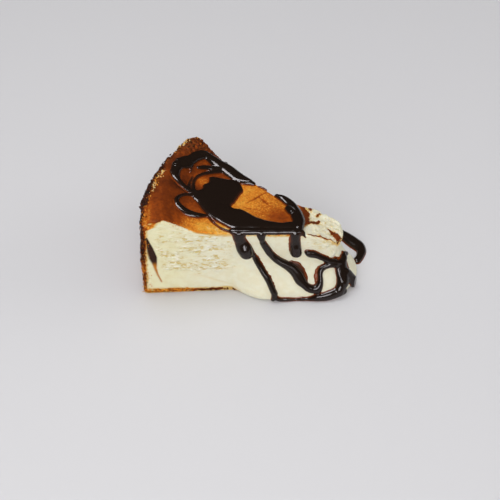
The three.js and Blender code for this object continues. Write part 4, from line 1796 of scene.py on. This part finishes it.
@dataclass
class Sauce:
    """The thick chocolate sauce: loops and a pool on the top, drips and strands down the sides."""

    surface: SliceSurface
    voxel: float = 0.43
    smoothing: int = 5
    smoothing_steps: Pair = (0.55, 0.5)
    routes: dict[str, tuple[Place, ...]] = field(default_factory=lambda: {
        "left_limb": (
            (30.6, 33.5, 4), (26.8, 35.8, 4.6), (23.6, 38.4, 5.4), (21.6, 42.6, 6.6), (22, 48, 7.2),
            (24.6, 52.6, 8),
        ),
        "rim_loop": (
            (22.8, 51, 6.4), (25.2, 53.6, 8.6), (30, 57.4, 8.2), (34.5, 62.4, 6.8), (39, 65.4, 7.4),
            (43.4, 63.6, 8.6), (47.8, 60.4, 10), (52.3, 57.6, 10.4), (56, 54.3, 10.2), (60, 50.6, 9.8),
            (64, 48, 7.2), (67.6, 46, 3.6),
        ),
        "rim_blob": ((27, 53, 6.5), (29.6, 54.6, 6)),
        "stroke": ((31, 56, 2.6), (30.9, 52, 2.6), (30.2, 48.8, 1.6)),
        "lower_stroke": ((31.4, 46.1, 1.8), (29.5, 40.6, 2.6), (28.9, 36.4, 3.2)),
        "upper_line": ((35.1, 54.5, 3.1), (39.3, 56.2, 4), (44.1, 56.7, 4), (48.3, 56.8, 4)),
        "inner_curl": (
            (49.4, 55.3, 3.4), (42.8, 53.3, 3.2), (37.9, 50.7, 3), (34.3, 47.3, 2.7), (32.2, 42.6, 2.7),
            (31.8, 37.6, 3.2), (32.3, 34, 4),
        ),
        "left_loop": (
            (32, 31.4, 3.4), (26.5, 29.6, 3.2), (23.4, 26.4, 3.2), (21.9, 22.3, 4), (23.5, 18.9, 5.6),
            (26.4, 16.3, 6.2), (29.7, 14.9, 5.8), (33.7, 14.3, 4.6), (37.6, 14.7, 3.4),
        ),
        "front_line": (
            (39.2, 15, 2), (42, 10.4, 1.8), (45, 6.4, 1.9), (47.8, 3.6, 2), (51, 1.9, 2.2),
            (55, 1.8, 3),
        ),
        "front_edge": ((53, 1.7, 3.6), (62, 1.4, 3.8), (72, 1.4, 3.8), (82, 1.4, 3.8), (92, 1.5, 3.8)),
        "band_swell": ((87.2, 22.5, 6), (88.5, 19.5, 6)),
        "tip_band": (
            (81.4, 34.7, 4), (85.2, 32.2, 6.4), (88.7, 28.4, 7.6), (91, 23.2, 8.6), (91.6, 17.1, 9),
            (91.8, 11, 8.4), (91, 5, 6.4),
        ),
        "tongue": ((91.6, 4.5, 4), (92.4, 2, 4.4), (93.6, 0.2, 3.4), (94.6, -0.8, 1.8)),
        "far_bits": ((71, 43.5, 1.8), (73.1, 42.4, 2.2), (75, 40.8, 1.8)),
        "drip_one": ((57, 5, 9), (57, -2, 8.4), (58.2, -6, 8.4), (59.6, -10, 9), (61, -14.3, 9)),
        "drip_two": ((69.6, 4, 7), (69.6, -1.5, 5.5), (70, -4.6, 3.8)),
        "drip_three": ((89, 4, 7.2), (89, -3.5, 6.5), (89.4, -8.2, 6.5), (89.7, -14.2, 7.2)),
        "thin_fall": (
            (62, -8, 3.2), (64.6, -14.5, 3.3), (66.6, -19.7, 3.3), (69.9, -25.2, 3.6), (73.2, -29.9, 3.9),
            (75.2, -34.2, 4), (77, -38.4, 4),
        ),
        "foot_corner": ((76.6, -37, 3.8), (76.8, -40.4, 3.8), (76, -42.6, 2.8)),
        "foot_line": (
            (77.2, -40.6, 3.4), (80.4, -42.2, 3.6), (84.9, -42.4, 3.8), (89.6, -42.6, 3.8),
            (93.7, -41.4, 4), (98.8, -38.8, 4.6), (104, -35.9, 5.8), (107.3, -33.8, 7), (110.8, -32, 7.4),
        ),
        "long_swing": (
            (70.6, -6.4, 4.2), (72.6, -10.6, 4.7), (75.2, -15.4, 5), (78.7, -19.1, 4.9),
            (82.7, -21.4, 5.3), (86.7, -23.5, 6.2), (90.1, -26.6, 7.2), (92.7, -30, 7.8),
            (95.3, -31.8, 6.9), (98.2, -32.3, 5.6), (101.5, -31.6, 5.5), (103.4, -28.2, 4.7),
            (103.8, -24.9, 4.4), (103.7, -21.9, 4.1), (105.3, -18.7, 3.6), (108.3, -17, 3.8),
            (112.2, -16.5, 4.6),
        ),
        "upper_tick": (
            (97.5, -12.3, 6), (99.6, -12.1, 6.2), (102.5, -12.4, 5.4), (106.1, -12.8, 5),
            (109.4, -14.6, 4.6), (112.6, -15.1, 5), (116.3, -15.4, 5.3),
        ),
        "knot": (
            (121.6, -12.6, 3.2), (119.5, -14, 5.2), (116.8, -15.5, 7.6), (115.2, -17.7, 10),
            (114.6, -20.4, 10.8), (113.9, -23.2, 10.2), (112.9, -26, 8.2), (111.9, -28.8, 6.8),
            (111, -31.1, 6.8),
        ),
        "knot_branch": ((115.8, -20, 5.7), (116.8, -23, 6.6), (117.6, -26.4, 6.8), (118.3, -29.6, 6.6)),
        "knot_spot": ((123.4, -14.2, 3), (125, -16.2, 3.4)),
        "far_drip_one": ((214.3, -1.6, 5.4), (214.8, -6, 6), (215.5, -10, 6), (216, -15, 7)),
        "far_drip_two": ((185, -2.2, 4), (185, -5, 4.6), (184.5, -8, 5)),
        "far_drip_three": ((175, -2.6, 5), (175.2, -5, 5.4), (175, -9, 5), (174, -16, 6)),
    })
    heights: dict[str, Pair] = field(default_factory=lambda: {
        "drip_one": (1.6, 5.0),
        "drip_two": (1.7, 2.4),
        "drip_three": (1.6, 4.2),
        "knot": (2.6, 4.0),
        "knot_branch": (3.0, 3.6),
        "tongue": (1.4, 0.6),
        "far_bits": (1.2, 1.2),
        "left_limb": (1.9, 2.0),
        "band_swell": (3.6, 3.6),
        "stroke": (1.0, 1.0),
        "lower_stroke": (1.0, 1.4),
        "left_loop": (1.8, 2.4),
        "front_line": (1.6, 1.6),
        "far_drip_one": (1.2, 2.6),
    })
    smears: dict[str, tuple[Place, ...]] = field(default_factory=lambda: {
        "swing_edge": (
            (87.4, -20.2, 1.8), (89.2, -21.2, 3), (91.9, -22.8, 3.8), (94.2, -24.6, 3.8), (95.6, -26.6, 3.4),
            (95.9, -29, 2.2),
        ),
        "limb_edge": (
            (105.3, -17.8, 2.4), (102.8, -20.5, 3.2), (101.7, -23.2, 3.1), (101.2, -25.9, 2.8),
            (101.4, -28.5, 2.2),
        ),
        "tick_edge": (
            (100.8, -10.9, 2.2), (103.8, -11.2, 2.8), (107.4, -12, 2.8), (110.9, -13.5, 2.6),
            (114.4, -13, 2.8),
        ),
        "knot_top": ((113.9, -12, 1.8), (116.8, -13, 2.6), (119.4, -12.9, 2.8), (121.6, -11.6, 2.2)),
        "knot_right": ((121.6, -14.4, 2.8), (119.9, -17.4, 3), (119.2, -20.4, 3), (118.6, -23.6, 2.8)),
        "drip_edge": ((86, -2.6, 1.5), (86, -8.1, 1.7), (86.3, -12.9, 1.7)),
        "fall_edge": (
            (63.9, -11.6, 2), (67.2, -18.3, 2.8), (70.6, -23.6, 2.8), (73.9, -28.8, 2.8), (76.4, -33.7, 2.6),
        ),
    })
    smear_heights: Pair = (0.5, 0.5)
    plate_curl: tuple[Place, ...] = (
        (123.6, 44.9, 6.8), (126.8, 41, 8.6), (129.9, 36.9, 9.6), (132.5, 33.2, 8.8), (133.7, 28.6, 6.6),
        (132.2, 23.8, 5.6), (129.9, 20.3, 5.6),
    )
    curl_heights: Pair = (3, 2.8)
    pool: tuple[Pair, ...] = (
        (41, 49.5), (44.5, 50.5), (49.2, 50), (54, 49.4), (57.6, 48.5), (59.9, 46.5), (61.4, 42.2),
        (61.6, 38.2), (59.5, 34.3), (57.9, 30.4), (55.9, 26.5), (54, 23.8), (55.6, 22.2), (58.6, 21.9),
        (62.5, 19.2), (67.5, 14.6), (73, 11.6), (78.1, 10.1), (82, 9.4), (87, 10.4), (90, 10), (91, 5),
        (89.4, 1.4), (83, 1.3), (74.6, 1.3), (63.3, 1.3), (55.4, 1.6), (51.6, 3.7), (47.3, 7.2),
        (42.7, 11.3), (38.8, 15.6), (35.5, 21), (33.3, 25.4), (31, 28.1), (30.5, 31.7), (31.7, 35.5),
        (34.7, 37.3), (36.8, 39.1), (37.6, 42.6), (40.4, 44.6),
    )
    pool_edge: float = 4.6
    pool_height: float = 2.0
    pool_step: float = 0.7
    pool_sunk: float = 0.5
    pool_keel: float = 1.5
    swell: float = 0.2
    swell_size: float = 9.0
    smear_ragged: float = 0.5
    seed: int = 40
    smear_seed: int = 90
    curl_seed: int = 80
    pool_seed: int = 61

    def build(self, material: Material, cake: BVHTree) -> Object:
        """Make the sauce as one smooth run.

        Args:
            material: Its material.
            cake: The slice's outside, in metres, to measure the sauce's depth from.

        Returns:
            The piece.
        """
        strands = []
        for k, (name, route) in enumerate(self.routes.items()):
            heights = self.heights.get(name, Strand.heights)
            strands.append(Strand(route, self.surface, heights, seed=self.seed + k))
        for k, route in enumerate(self.smears.values()):
            seed = self.smear_seed + k
            smear = Strand(route, self.surface, self.smear_heights, ragged=self.smear_ragged, seed=seed)
            strands.append(smear)
        strands.append(Strand(self.plate_curl, PlateSurface(), self.curl_heights, seed=self.curl_seed))
        runs = joined([*(strand.build() for strand in strands), self._pool()])
        fused = fuse(in_part_frame(runs, self.surface.form.plan), self.voxel * METRES)
        fused = kept_in_box(fused.relaxed(self.smoothing, *self.smoothing_steps))
        depth = np.minimum(depth_over(fused.points, cake), fused.points[:, 2] / METRES)
        fused.values = {"depth": depth}
        return place_piece("chocolate_sauce", fused, Slot.SAUCE, material)

    def _pool(self) -> Shape:
        """Make the broad pool on the top, flat with rounded edges."""
        corners = np.array([*self.pool, self.pool[0]], float)
        knots = flat_points(corners[:, 0], corners[:, 1])
        loop = Strand(knots, self.surface, step=self.pool_step).centreline()[:-1, :2]
        low, high = loop.min(axis=0), loop.max(axis=0)
        grid = np.meshgrid(*(np.arange(low[k], high[k], self.pool_step) for k in (0, 1)))
        inner = np.stack([axis.ravel() for axis in grid], axis=1)
        gap = np.linalg.norm(inner[:, None] - loop[None], axis=2).min(axis=1)
        kept = inside_loop(inner, loop) & (gap > 0.5 * self.pool_step)
        plan = np.concatenate([loop, inner[kept]])
        share = np.clip(np.concatenate([np.zeros(len(loop)), gap[kept]]) / self.pool_edge, 0, 1)
        swell = Noise(self.pool_seed).layered(flat_points(plan[:, 0], plan[:, 1]), self.swell_size, 2)
        rounded = (self.pool_height + self.pool_sunk) * np.sqrt(1 - (1 - share) ** 2)
        up = -self.pool_sunk + rounded + self.swell * swell * share
        points = self.surface.at(plan[:, 0], plan[:, 1]) + np.array([0, 0, 1]) * up[:, None]
        sheet = Shape(points, triangles_in(plan, len(loop)))
        return sheet.thickened(np.tile([0.0, 0.0, 1.0], (len(plan), 1)), self.pool_height + self.pool_keel)


def inside_loop(points: Array, loop: Array) -> Array:
    """Tell which points lie inside a closed loop.

    Args:
        points: Points of a plane.
        loop: The loop's corners.

    Returns:
        True for each point inside.
    """
    inside = np.zeros(len(points), bool)
    for (x0, y0), (x1, y1) in zip(loop, np.roll(loop, -1, axis=0)):
        if y0 == y1:
            continue
        spans = (y0 > points[:, 1]) != (y1 > points[:, 1])
        crossing = x0 + (points[:, 1] - y0) / (y1 - y0) * (x1 - x0)
        inside ^= spans & (points[:, 0] < crossing)
    return inside


def fuse(shape: Shape, voxel: float) -> Shape:
    """Melt overlapping closed meshes into one skin.

    Args:
        shape: The meshes, in the part's frame.
        voxel: Size of the new faces.

    Returns:
        One mesh.
    """
    raw = mesh_object("strands", shape)
    change = raw.modifiers.new("melt", "REMESH")
    change.mode = "VOXEL"
    change.voxel_size = voxel
    graph = bpy.context.evaluated_depsgraph_get()
    melted = bpy.data.meshes.new_from_object(raw.evaluated_get(graph))
    melted.calc_loop_triangles()
    points = np.zeros(3 * len(melted.vertices))
    melted.vertices.foreach_get("co", points)
    faces = np.zeros(3 * len(melted.loop_triangles), int)
    melted.loop_triangles.foreach_get("vertices", faces)
    bpy.data.objects.remove(raw)
    return Shape(points.reshape(-1, 3), faces.reshape(-1, 3))


def depth_over(points: Array, cake: BVHTree) -> Array:
    """Measure how far points, in metres, stand off the slice, in millimetres."""
    found = [cake.find_nearest(point)[3] for point in points]
    return np.array(found) / METRES


# Node tools


class Desk:
    """Adds nodes to a tree and joins them."""

    def __init__(self, tree: bpy.types.NodeTree) -> None:
        """Keep the tree of a material or a group."""
        self.tree = tree

    def _join(self, socket: Socket, value: object) -> None:
        """Give an input its value or its link.

        Args:
            socket: The input.
            value: A number, a colour or another node's output.
        """
        if isinstance(value, Socket):
            self.tree.links.new(value, socket)
        elif socket.type == "RGBA" and len(value) == 3:
            socket.default_value = (*value, 1.0)
        else:
            socket.default_value = value

    def feed(self, node: bpy.types.Node, inputs: dict) -> None:
        """Give some of a node's inputs, by name or number, their values or links."""
        for key, value in inputs.items():
            self._join(node.inputs[key], value)

    def add(self, kind: str, inputs: dict | None = None, **settings: object) -> bpy.types.Node:
        """Add one node.

        Args:
            kind: The node's type.
            inputs: Values or sockets for its inputs, by name or number.
            settings: The node's own settings.

        Returns:
            The new node.
        """
        node = self.tree.nodes.new(kind)
        for name, value in settings.items():
            setattr(node, name, value)
        self.feed(node, inputs or {})
        return node

    def group(self, tree: bpy.types.NodeTree, inputs: dict | None = None) -> dict[str, Socket]:
        """Place a shared group and give back its outputs by name."""
        return dict(self.add("ShaderNodeGroup", inputs, node_tree=tree).outputs.items())

    def attribute(self, name: str) -> Socket:
        """Read a named value of the mesh."""
        return self.add("ShaderNodeAttribute", attribute_name=name).outputs["Fac"]

    def maths(self, operation: str, *values: object, clamp: bool = False) -> Socket:
        """Do one sum of values or sockets, held within 0 and 1 by clamp."""
        inputs = dict(enumerate(values))
        return self.add("ShaderNodeMath", inputs, operation=operation, use_clamp=clamp).outputs[0]

    def times(self, first: object, second: object) -> Socket:
        """Multiply two values."""
        return self.maths("MULTIPLY", first, second)

    def plus(self, first: object, second: object) -> Socket:
        """Add two values."""
        return self.maths("ADD", first, second)

    def noise(self, place: Socket, scale: Socket, detail: float, **shape: float) -> Socket:
        """Read noise at a place."""
        inputs = {"Vector": place, "Scale": scale, "Detail": detail, **shape}
        return self.add("ShaderNodeTexNoise", inputs).outputs["Fac"]

    def bump(self, height: Socket, strength: float, distance: float) -> Socket:
        """Turn a height into a normal."""
        inputs = {"Height": height, "Strength": strength, "Distance": distance}
        return self.add("ShaderNodeBump", inputs).outputs["Normal"]

    def mixed(self, share: object, first: object, second: object) -> Socket:
        """Mix two colours.

        Args:
            share: Share of the second one.
            first: First colour.
            second: Second colour.

        Returns:
            The mixed colour.
        """
        node = self.add("ShaderNodeMix", data_type="RGBA")
        inputs = {socket.name: socket for socket in node.inputs if socket.enabled}
        for name, value in {"Factor": share, "A": first, "B": second}.items():
            self._join(inputs[name], value)
        return next(socket for socket in node.outputs if socket.enabled)

    def ranged(self, value: object, low: float, high: float, to_low: float = 0, to_high: float = 1) -> Socket:
        """Map a value smoothly from the range low to high to the range to_low to to_high."""
        inputs = {"Value": value, "From Min": low, "From Max": high, "To Min": to_low, "To Max": to_high}
        return self.add("ShaderNodeMapRange", inputs, interpolation_type="SMOOTHSTEP").outputs["Result"]

    def ramp(self, value: object, stops: Sequence[tuple[float, Colour]]) -> Socket:
        """Turn a value into a colour.

        Args:
            value: Value or socket.
            stops: Places and colours.

        Returns:
            The colour.
        """
        node = self.add("ShaderNodeValToRGB", {"Fac": value})
        elements = node.color_ramp.elements
        while len(elements) < len(stops):
            elements.new(1.0)
        for element, (place, colour) in zip(elements, stops):
            element.position = place
            element.color = (*colour, 1.0)
        return node.outputs["Color"]


def new_group(
    name: str, inputs: dict[str, tuple[str, object]], outputs: dict[str, str]
) -> tuple[Desk, dict[str, Socket], Socket]:
    """Start a shader node group with named sockets.

    Args:
        name: The group's name.
        inputs: Types and starting values of its inputs.
        outputs: Types of its outputs.

    Returns:
        Its desk, what its inputs give and the place on the object.
    """
    tree = bpy.data.node_groups.new(name, "ShaderNodeTree")
    for label, (kind, value) in inputs.items():
        socket = tree.interface.new_socket(label, in_out="INPUT", socket_type=kind)
        socket.default_value = value
    for label, kind in outputs.items():
        tree.interface.new_socket(label, in_out="OUTPUT", socket_type=kind)
    desk = Desk(tree)
    given = dict(desk.add("NodeGroupInput").outputs.items())
    return desk, given, desk.add("ShaderNodeTexCoord").outputs["Object"]


NUMBER = "NodeSocketFloat"
COLOUR = "NodeSocketColor"
WHITE = (1.0, 1.0, 1.0, 1.0)


def make_grain_group() -> bpy.types.NodeTree:
    """Make the fine unevenness that every food surface has.

    Returns:
        A group that gives a height and a tone.
    """
    inputs = {"Broad Scale": (NUMBER, 200.0), "Fine Scale": (NUMBER, 1200.0), "Fine Share": (NUMBER, 0.4)}
    desk, given, place = new_group("uneven_grain", inputs, {"Height": NUMBER, "Tone": NUMBER})
    broad = desk.noise(place, given["Broad Scale"], 3)
    fine = desk.noise(place, given["Fine Scale"], 2)
    height = desk.plus(broad, desk.times(fine, given["Fine Share"]))
    desk.add("NodeGroupOutput", {"Height": height, "Tone": desk.ranged(broad, 0.3, 0.7, -1, 1)})
    return desk.tree


def make_speck_group() -> bpy.types.NodeTree:
    """Make small specks of another colour.

    Returns:
        A group that gives the specked colour and the specks' mask.
    """
    inputs = {
        "Color": (COLOUR, WHITE),
        "Speck Color": (COLOUR, WHITE),
        "Scale": (NUMBER, 900.0),
        "Cover": (NUMBER, 0.3),
        "Strength": (NUMBER, 1.0),
    }
    desk, given, place = new_group("small_specks", inputs, {"Color": COLOUR, "Mask": NUMBER})
    edge = desk.maths("SUBTRACT", 0.72, desk.times(given["Cover"], 0.4))
    above = desk.maths("SUBTRACT", desk.noise(place, given["Scale"], 1), edge)
    mask = desk.maths("MULTIPLY", desk.ranged(above, -0.03, 0.05), given["Strength"], clamp=True)
    colour = desk.mixed(mask, given["Color"], given["Speck Color"])
    desk.add("NodeGroupOutput", {"Color": colour, "Mask": mask})
    return desk.tree


def make_curd_group() -> bpy.types.NodeTree:
    """Make the flat torn curds that a knife leaves.

    Returns:
        A group that gives a height, a mask of the pits for painted shade and a mask of the crests for painted
        highlights.
    """
    inputs = {"Scale": (NUMBER, 330.0), "Flatness": (NUMBER, 2.4)}
    desk, given, place = new_group("torn_curds", inputs, {"Height": NUMBER, "Pit Shade": NUMBER, "Crest Highlight": NUMBER})
    axes = desk.add("ShaderNodeSeparateXYZ", {"Vector": place}).outputs
    upright = desk.times(axes["Z"], given["Flatness"])
    flat = desk.add("ShaderNodeCombineXYZ", {"X": axes["X"], "Y": axes["Y"], "Z": upright}).outputs["Vector"]
    height = desk.noise(flat, given["Scale"], 4, Roughness=0.6, Distortion=0.5)
    # Masks of the low pits, for painted shade, and of the high crests, for painted highlights.
    pits, crests = desk.ranged(height, 0.46, 0.34), desk.ranged(height, 0.56, 0.68)
    desk.add("NodeGroupOutput", {"Height": height, "Pit Shade": pits, "Crest Highlight": crests})
    return desk.tree


@dataclass(frozen=True)
class Groups:
    """The shared node groups."""

    grain: bpy.types.NodeTree
    specks: bpy.types.NodeTree
    curds: bpy.types.NodeTree


def browned(desk: Desk, level: Socket) -> Socket:
    """Colour a surface by how brown it is."""
    return desk.ramp(desk.maths("DIVIDE", level, BROWN_SPAN, clamp=True), BROWNING)


def new_material(name: str) -> tuple[Material, Desk, bpy.types.Node]:
    """Start a material.

    Args:
        name: Its name.

    Returns:
        The material, its desk and its surface shader.
    """
    material = bpy.data.materials.new(name)
    material.use_nodes = True
    return material, Desk(material.node_tree), material.node_tree.nodes["Principled BSDF"]


BROWNING = (
    (0.0, (0.78, 0.63, 0.30)),
    (0.10, (0.76, 0.36, 0.045)),
    (0.22, (0.65, 0.208, 0.018)),
    (0.36, (0.46, 0.11, 0.008)),
    (0.50, (0.30, 0.057, 0.005)),
    (0.64, (0.165, 0.031, 0.004)),
    (0.80, (0.085, 0.017, 0.0035)),
    (1.0, (0.014, 0.006, 0.003)),
)
BROWN_SPAN = 1.2


@dataclass(frozen=True)
class FillingFinish:
    """Pale cream filling, with painted shade in the curds' pits and painted highlights on their crests."""

    cream: Colour = (0.755, 0.72, 0.48)
    smeared: Colour = (0.76, 0.735, 0.57)
    # Painted highlight on the curds' crests.
    crest_highlight: Colour = (0.88, 0.86, 0.74)
    # Ochre for the filling's uneven tone and for painted shade in the curds' pits.
    ochre_and_pit_shade: Colour = (0.62, 0.47, 0.17)
    # Toast colour, also used as painted shade along the near face's crease.
    toast_and_crease_shade: Colour = (0.66, 0.44, 0.14)
    streak: Colour = (0.03, 0.008, 0.003)
    tail: Colour = (0.46, 0.16, 0.015)
    most: float = 0.9
    curd_relief: float = 3.0
    grain_relief: float = 0.25
    bump: float = 0.6

    def material(self, groups: Groups) -> Material:
        """Make the filling's material, with the curds' pits painted darker as shade and their crests painted
        white as highlights.

        Args:
            groups: The shared node groups.

        Returns:
            The material.
        """
        material, desk, shader = new_material("cream_filling")
        grain = desk.group(groups.grain, {"Broad Scale": 260, "Fine Scale": 1500})
        curds = desk.group(groups.curds)
        curdy, curd = desk.attribute("curdy"), desk.attribute("curd")
        # Painted shade in the curds' pits, mixed towards ochre, and painted highlights on their crests, mixed
        # towards white.
        low = desk.plus(desk.ranged(curd, -0.05, -0.6), desk.times(curds["Pit Shade"], curdy))
        high = desk.plus(desk.ranged(curd, 0.1, 0.6, 0, 0.9), desk.times(curds["Crest Highlight"], curdy))
        colour = desk.mixed(desk.attribute("smeared"), self.cream, self.smeared)
        colour = desk.mixed(desk.maths("MINIMUM", low, self.most), colour, self.ochre_and_pit_shade)
        colour = desk.mixed(desk.maths("MINIMUM", high, self.most), colour, self.crest_highlight)
        colour = desk.mixed(desk.ranged(grain["Tone"], -1, 1, 0, 0.16), colour, self.ochre_and_pit_shade)
        # Toast near the skin and painted shade along the near face's crease.
        colour = desk.mixed(desk.attribute("toast_and_crease_shade"), colour, self.toast_and_crease_shade)
        stain = desk.mixed(desk.attribute("stain_tail"), self.streak, self.tail)
        colour = desk.mixed(desk.attribute("stain"), colour, stain)
        relief = desk.times(curds["Height"], desk.times(curdy, self.curd_relief))
        height = desk.plus(relief, desk.times(grain["Height"], self.grain_relief))
        desk.feed(shader, {
            "Base Color": colour,
            "Normal": desk.bump(height, self.bump, 0.0005),
            "Roughness": 0.5,
            "Specular IOR Level": 0.15,
            "Subsurface Weight": 0.12,
            "Subsurface Radius": (1.0, 0.7, 0.35),
            "Subsurface Scale": 0.002,
        })
        return material


@dataclass(frozen=True)
class SkinFinish:
    """Browned skin, glazed on the top and gritty at the rim and on the wall."""

    orange: Colour = (0.80, 0.36, 0.045)
    burnt: Colour = (0.05, 0.012, 0.004)
    glazed: float = 0.42
    gritty: float = 0.75
    bump: float = 0.25

    def material(self, groups: Groups) -> Material:
        """Make the skin's material.

        Args:
            groups: The shared node groups.

        Returns:
            The material.
        """
        material, desk, shader = new_material("browned_skin")
        grain = desk.group(groups.grain, {"Broad Scale": 420, "Fine Scale": 1700})
        brown, gritty = desk.attribute("brown"), desk.attribute("gritty")
        paler = desk.ranged(desk.attribute("inside"), 0, 0.8, 0.1, 0)
        level = desk.maths("SUBTRACT", desk.plus(brown, desk.times(grain["Tone"], 0.05)), paler)
        light = desk.group(groups.specks, {
            "Color": browned(desk, level),
            "Speck Color": self.orange,
            "Scale": 1000,
            "Cover": 0.4,
            "Strength": desk.plus(desk.ranged(brown, 0.62, 0.4, 0, 0.55), desk.times(gritty, 0.16)),
        })
        dark = desk.group(groups.specks, {
            "Color": light["Color"],
            "Speck Color": self.burnt,
            "Scale": 800,
            "Cover": 0.4,
            "Strength": desk.plus(0.2, desk.times(gritty, 0.6)),
        })
        desk.feed(shader, {
            "Base Color": dark["Color"],
            "Normal": desk.bump(grain["Height"], self.bump, 0.0005),
            "Roughness": desk.ranged(gritty, 0, 1, self.glazed, self.gritty),
            "Specular IOR Level": 0.05,
        })
        return material


@dataclass(frozen=True)
class SauceFinish:
    """Wet chocolate sauce, red-brown where it is thin."""

    thick: Colour = (0.014, 0.0085, 0.006)
    middle: Colour = (0.04, 0.014, 0.007)
    thin: Colour = (0.2, 0.038, 0.004)
    sheen: Colour = (1.0, 0.96, 1.0)
    wet: float = 0.12
    soaked: float = 0.24

    def material(self, groups: Groups) -> Material:
        """Make the sauce's material.

        Args:
            groups: The shared node groups.

        Returns:
            The material.
        """
        material, desk, shader = new_material("chocolate_sauce")
        grain = desk.group(groups.grain, {"Broad Scale": 150, "Fine Scale": 700, "Fine Share": 0.2})
        depth = desk.attribute("depth")
        stops = ((0.0, self.thin), (0.22, self.thin), (0.42, self.middle), (0.75, self.thick))
        desk.feed(shader, {
            "Base Color": desk.ramp(desk.times(depth, 0.5), stops),
            "Normal": desk.bump(grain["Height"], 0.05, 0.0008),
            "Roughness": desk.ranged(depth, 0.4, 1.1, self.soaked, self.wet),
            "Specular IOR Level": 0.3,
            "Specular Tint": self.sheen,
        })
        return material


@dataclass(frozen=True)
class CrumbFinish:
    """Crumbs of crust, each of its own brown."""

    uneven: float = 0.08

    def material(self, groups: Groups) -> Material:
        """Make the crumbs' material.

        Args:
            groups: The shared node groups.

        Returns:
            The material.
        """
        material, desk, shader = new_material("crumbs")
        grain = desk.group(groups.grain, {"Broad Scale": 900})
        level = desk.plus(desk.attribute("brown"), desk.times(grain["Tone"], self.uneven))
        desk.feed(shader, {"Base Color": browned(desk, level), "Roughness": 0.7, "Specular IOR Level": 0.1})
        return material


# Studio


@dataclass(frozen=True)
class SoftBox:
    """A soft box: where it hangs, its width and height, its power in watts and what shows it."""

    name: str
    place: Place
    size: Pair
    power: float
    lights: bool = True
    shines: bool = True


@dataclass
class Studio:
    """Pale floor, soft light and the camera."""

    lens: float = 72.0
    sensor: float = 36.0
    distance: float = 0.62
    azimuth: float = math.radians(18.98)
    elevation: float = math.radians(43)
    target: Place = (-0.002416, 0.011943, 0)
    floor_size: float = 6.0
    floor_drop: float = 0.00005
    floor_colour: Colour = (0.665, 0.66, 0.675)
    sky_colour: Colour = (1.0, 0.99, 1.0)
    sky_strength: float = 0.43
    boxes: tuple[SoftBox, ...] = (
        SoftBox("top_box", (-0.25, 0.1, 1.05), (0.7, 0.7), 4.2, shines=False),
        SoftBox("front_box", (0.15, -0.95, 0.5), (0.9, 0.7), 6.4, shines=False),
        SoftBox("right_box", (0.9, 0.45, 0.4), (0.6, 0.5), 1.8, shines=False),
        SoftBox("key_box", (-0.2, -0.03, 0.93), (0.3, 0.55), 9.5, lights=False),
        SoftBox("side_box", (0.75, -0.55, 0.62), (0.1, 0.24), 0.8, lights=False),
        SoftBox("window", (0.333, -0.748, 0.574), (0.4, 0.4), 6.4, lights=False),
    )

    def back(self) -> Vector:
        """Point from the target to the camera."""
        turn, rise = self.azimuth, self.elevation
        return Vector((math.sin(turn) * math.cos(rise), -math.cos(turn) * math.cos(rise), math.sin(rise)))

    def build(self) -> None:
        """Make the camera, the lights and the floor."""
        self._camera()
        self._sky()
        for box in self.boxes:
            self._light(box)
        self._floor()
        bpy.context.scene.view_settings.view_transform = "Standard"

    @staticmethod
    def _aim(made: Object, place: Vector, way: Vector) -> None:
        """Put a camera or a light in its place.

        Args:
            made: The camera or light.
            place: Where it stands.
            way: The direction that it faces.
        """
        made.location = place
        made.rotation_mode = "QUATERNION"
        made.rotation_quaternion = way.to_track_quat("-Z", "Y")

    def _camera(self) -> None:
        """Place the camera at the photograph's angle."""
        data = bpy.data.cameras.new("camera")
        data.lens = self.lens
        data.sensor_width = self.sensor
        camera = linked("camera", data)
        self._aim(camera, Vector(self.target) + self.back() * self.distance, -self.back())
        bpy.context.scene.camera = camera

    def _sky(self) -> None:
        """Light everything evenly."""
        world = bpy.data.worlds.new("soft_room")
        world.use_nodes = True
        inputs = {"Color": self.sky_colour, "Strength": self.sky_strength}
        Desk(world.node_tree).feed(world.node_tree.nodes["Background"], inputs)
        world.cycles_visibility.glossy = False
        bpy.context.scene.world = world

    def _light(self, box: SoftBox) -> None:
        """Add a soft box that faces the slice.

        Args:
            box: What it is like.
        """
        data = bpy.data.lights.new(box.name, "AREA")
        data.shape = "RECTANGLE"
        data.size, data.size_y = box.size
        data.energy = box.power
        lamp = linked(box.name, data)
        self._aim(lamp, Vector(box.place), -Vector(box.place))
        lamp.visible_diffuse = box.lights
        lamp.visible_glossy = box.shines

    def _floor(self) -> None:
        """Lay the floor."""
        half = self.floor_size / 2
        mesh = bpy.data.meshes.new("floor")
        corners = [(-half, -half, 0), (half, -half, 0), (half, half, 0), (-half, half, 0)]
        mesh.from_pydata(corners, [], [(0, 1, 2, 3)])
        floor = linked("floor", mesh)
        floor.location = (0, 0, -self.floor_drop)
        material, desk, shader = new_material("floor")
        desk.feed(shader, {"Base Color": self.floor_colour, "Roughness": 0.7, "Specular IOR Level": 0.2})
        mesh.materials.append(material)


def outside_tree(*pieces: Object) -> BVHTree:
    """Gather the outsides of pieces for measuring.

    Args:
        pieces: Mesh objects in the part's frame.

    Returns:
        Their faces, ready to be searched.
    """
    points: list[Vector] = []
    faces: list[tuple[int, ...]] = []
    for piece in pieces:
        start = len(points)
        points += [vertex.co.copy() for vertex in piece.data.vertices]
        faces += [tuple(start + k for k in polygon.vertices) for polygon in piece.data.polygons]
    return BVHTree.FromPolygons(points, faces)


def main() -> None:
    """Build the slice, its sauce and the studio."""
    logging.basicConfig(level=logging.INFO, format="%(message)s")
    groups = Groups(make_grain_group(), make_speck_group(), make_curd_group())
    form = CakeForm()
    surface = SliceSurface(form)
    grid = SliceGrid(form, surface)
    skin_map = SkinMap(form, surface)
    cream = Filling(grid, skin_map)
    filling = cream.build(FillingFinish().material(groups))
    skin = BrownedSkin(grid, skin_map, cream.top).build(SkinFinish().material(groups))
    Crumbs(surface).build(CrumbFinish().material(groups))
    cake = outside_tree(filling, skin)
    Sauce(surface).build(SauceFinish().material(groups), cake)
    Studio().build()


if __name__ == "__main__":
    main()
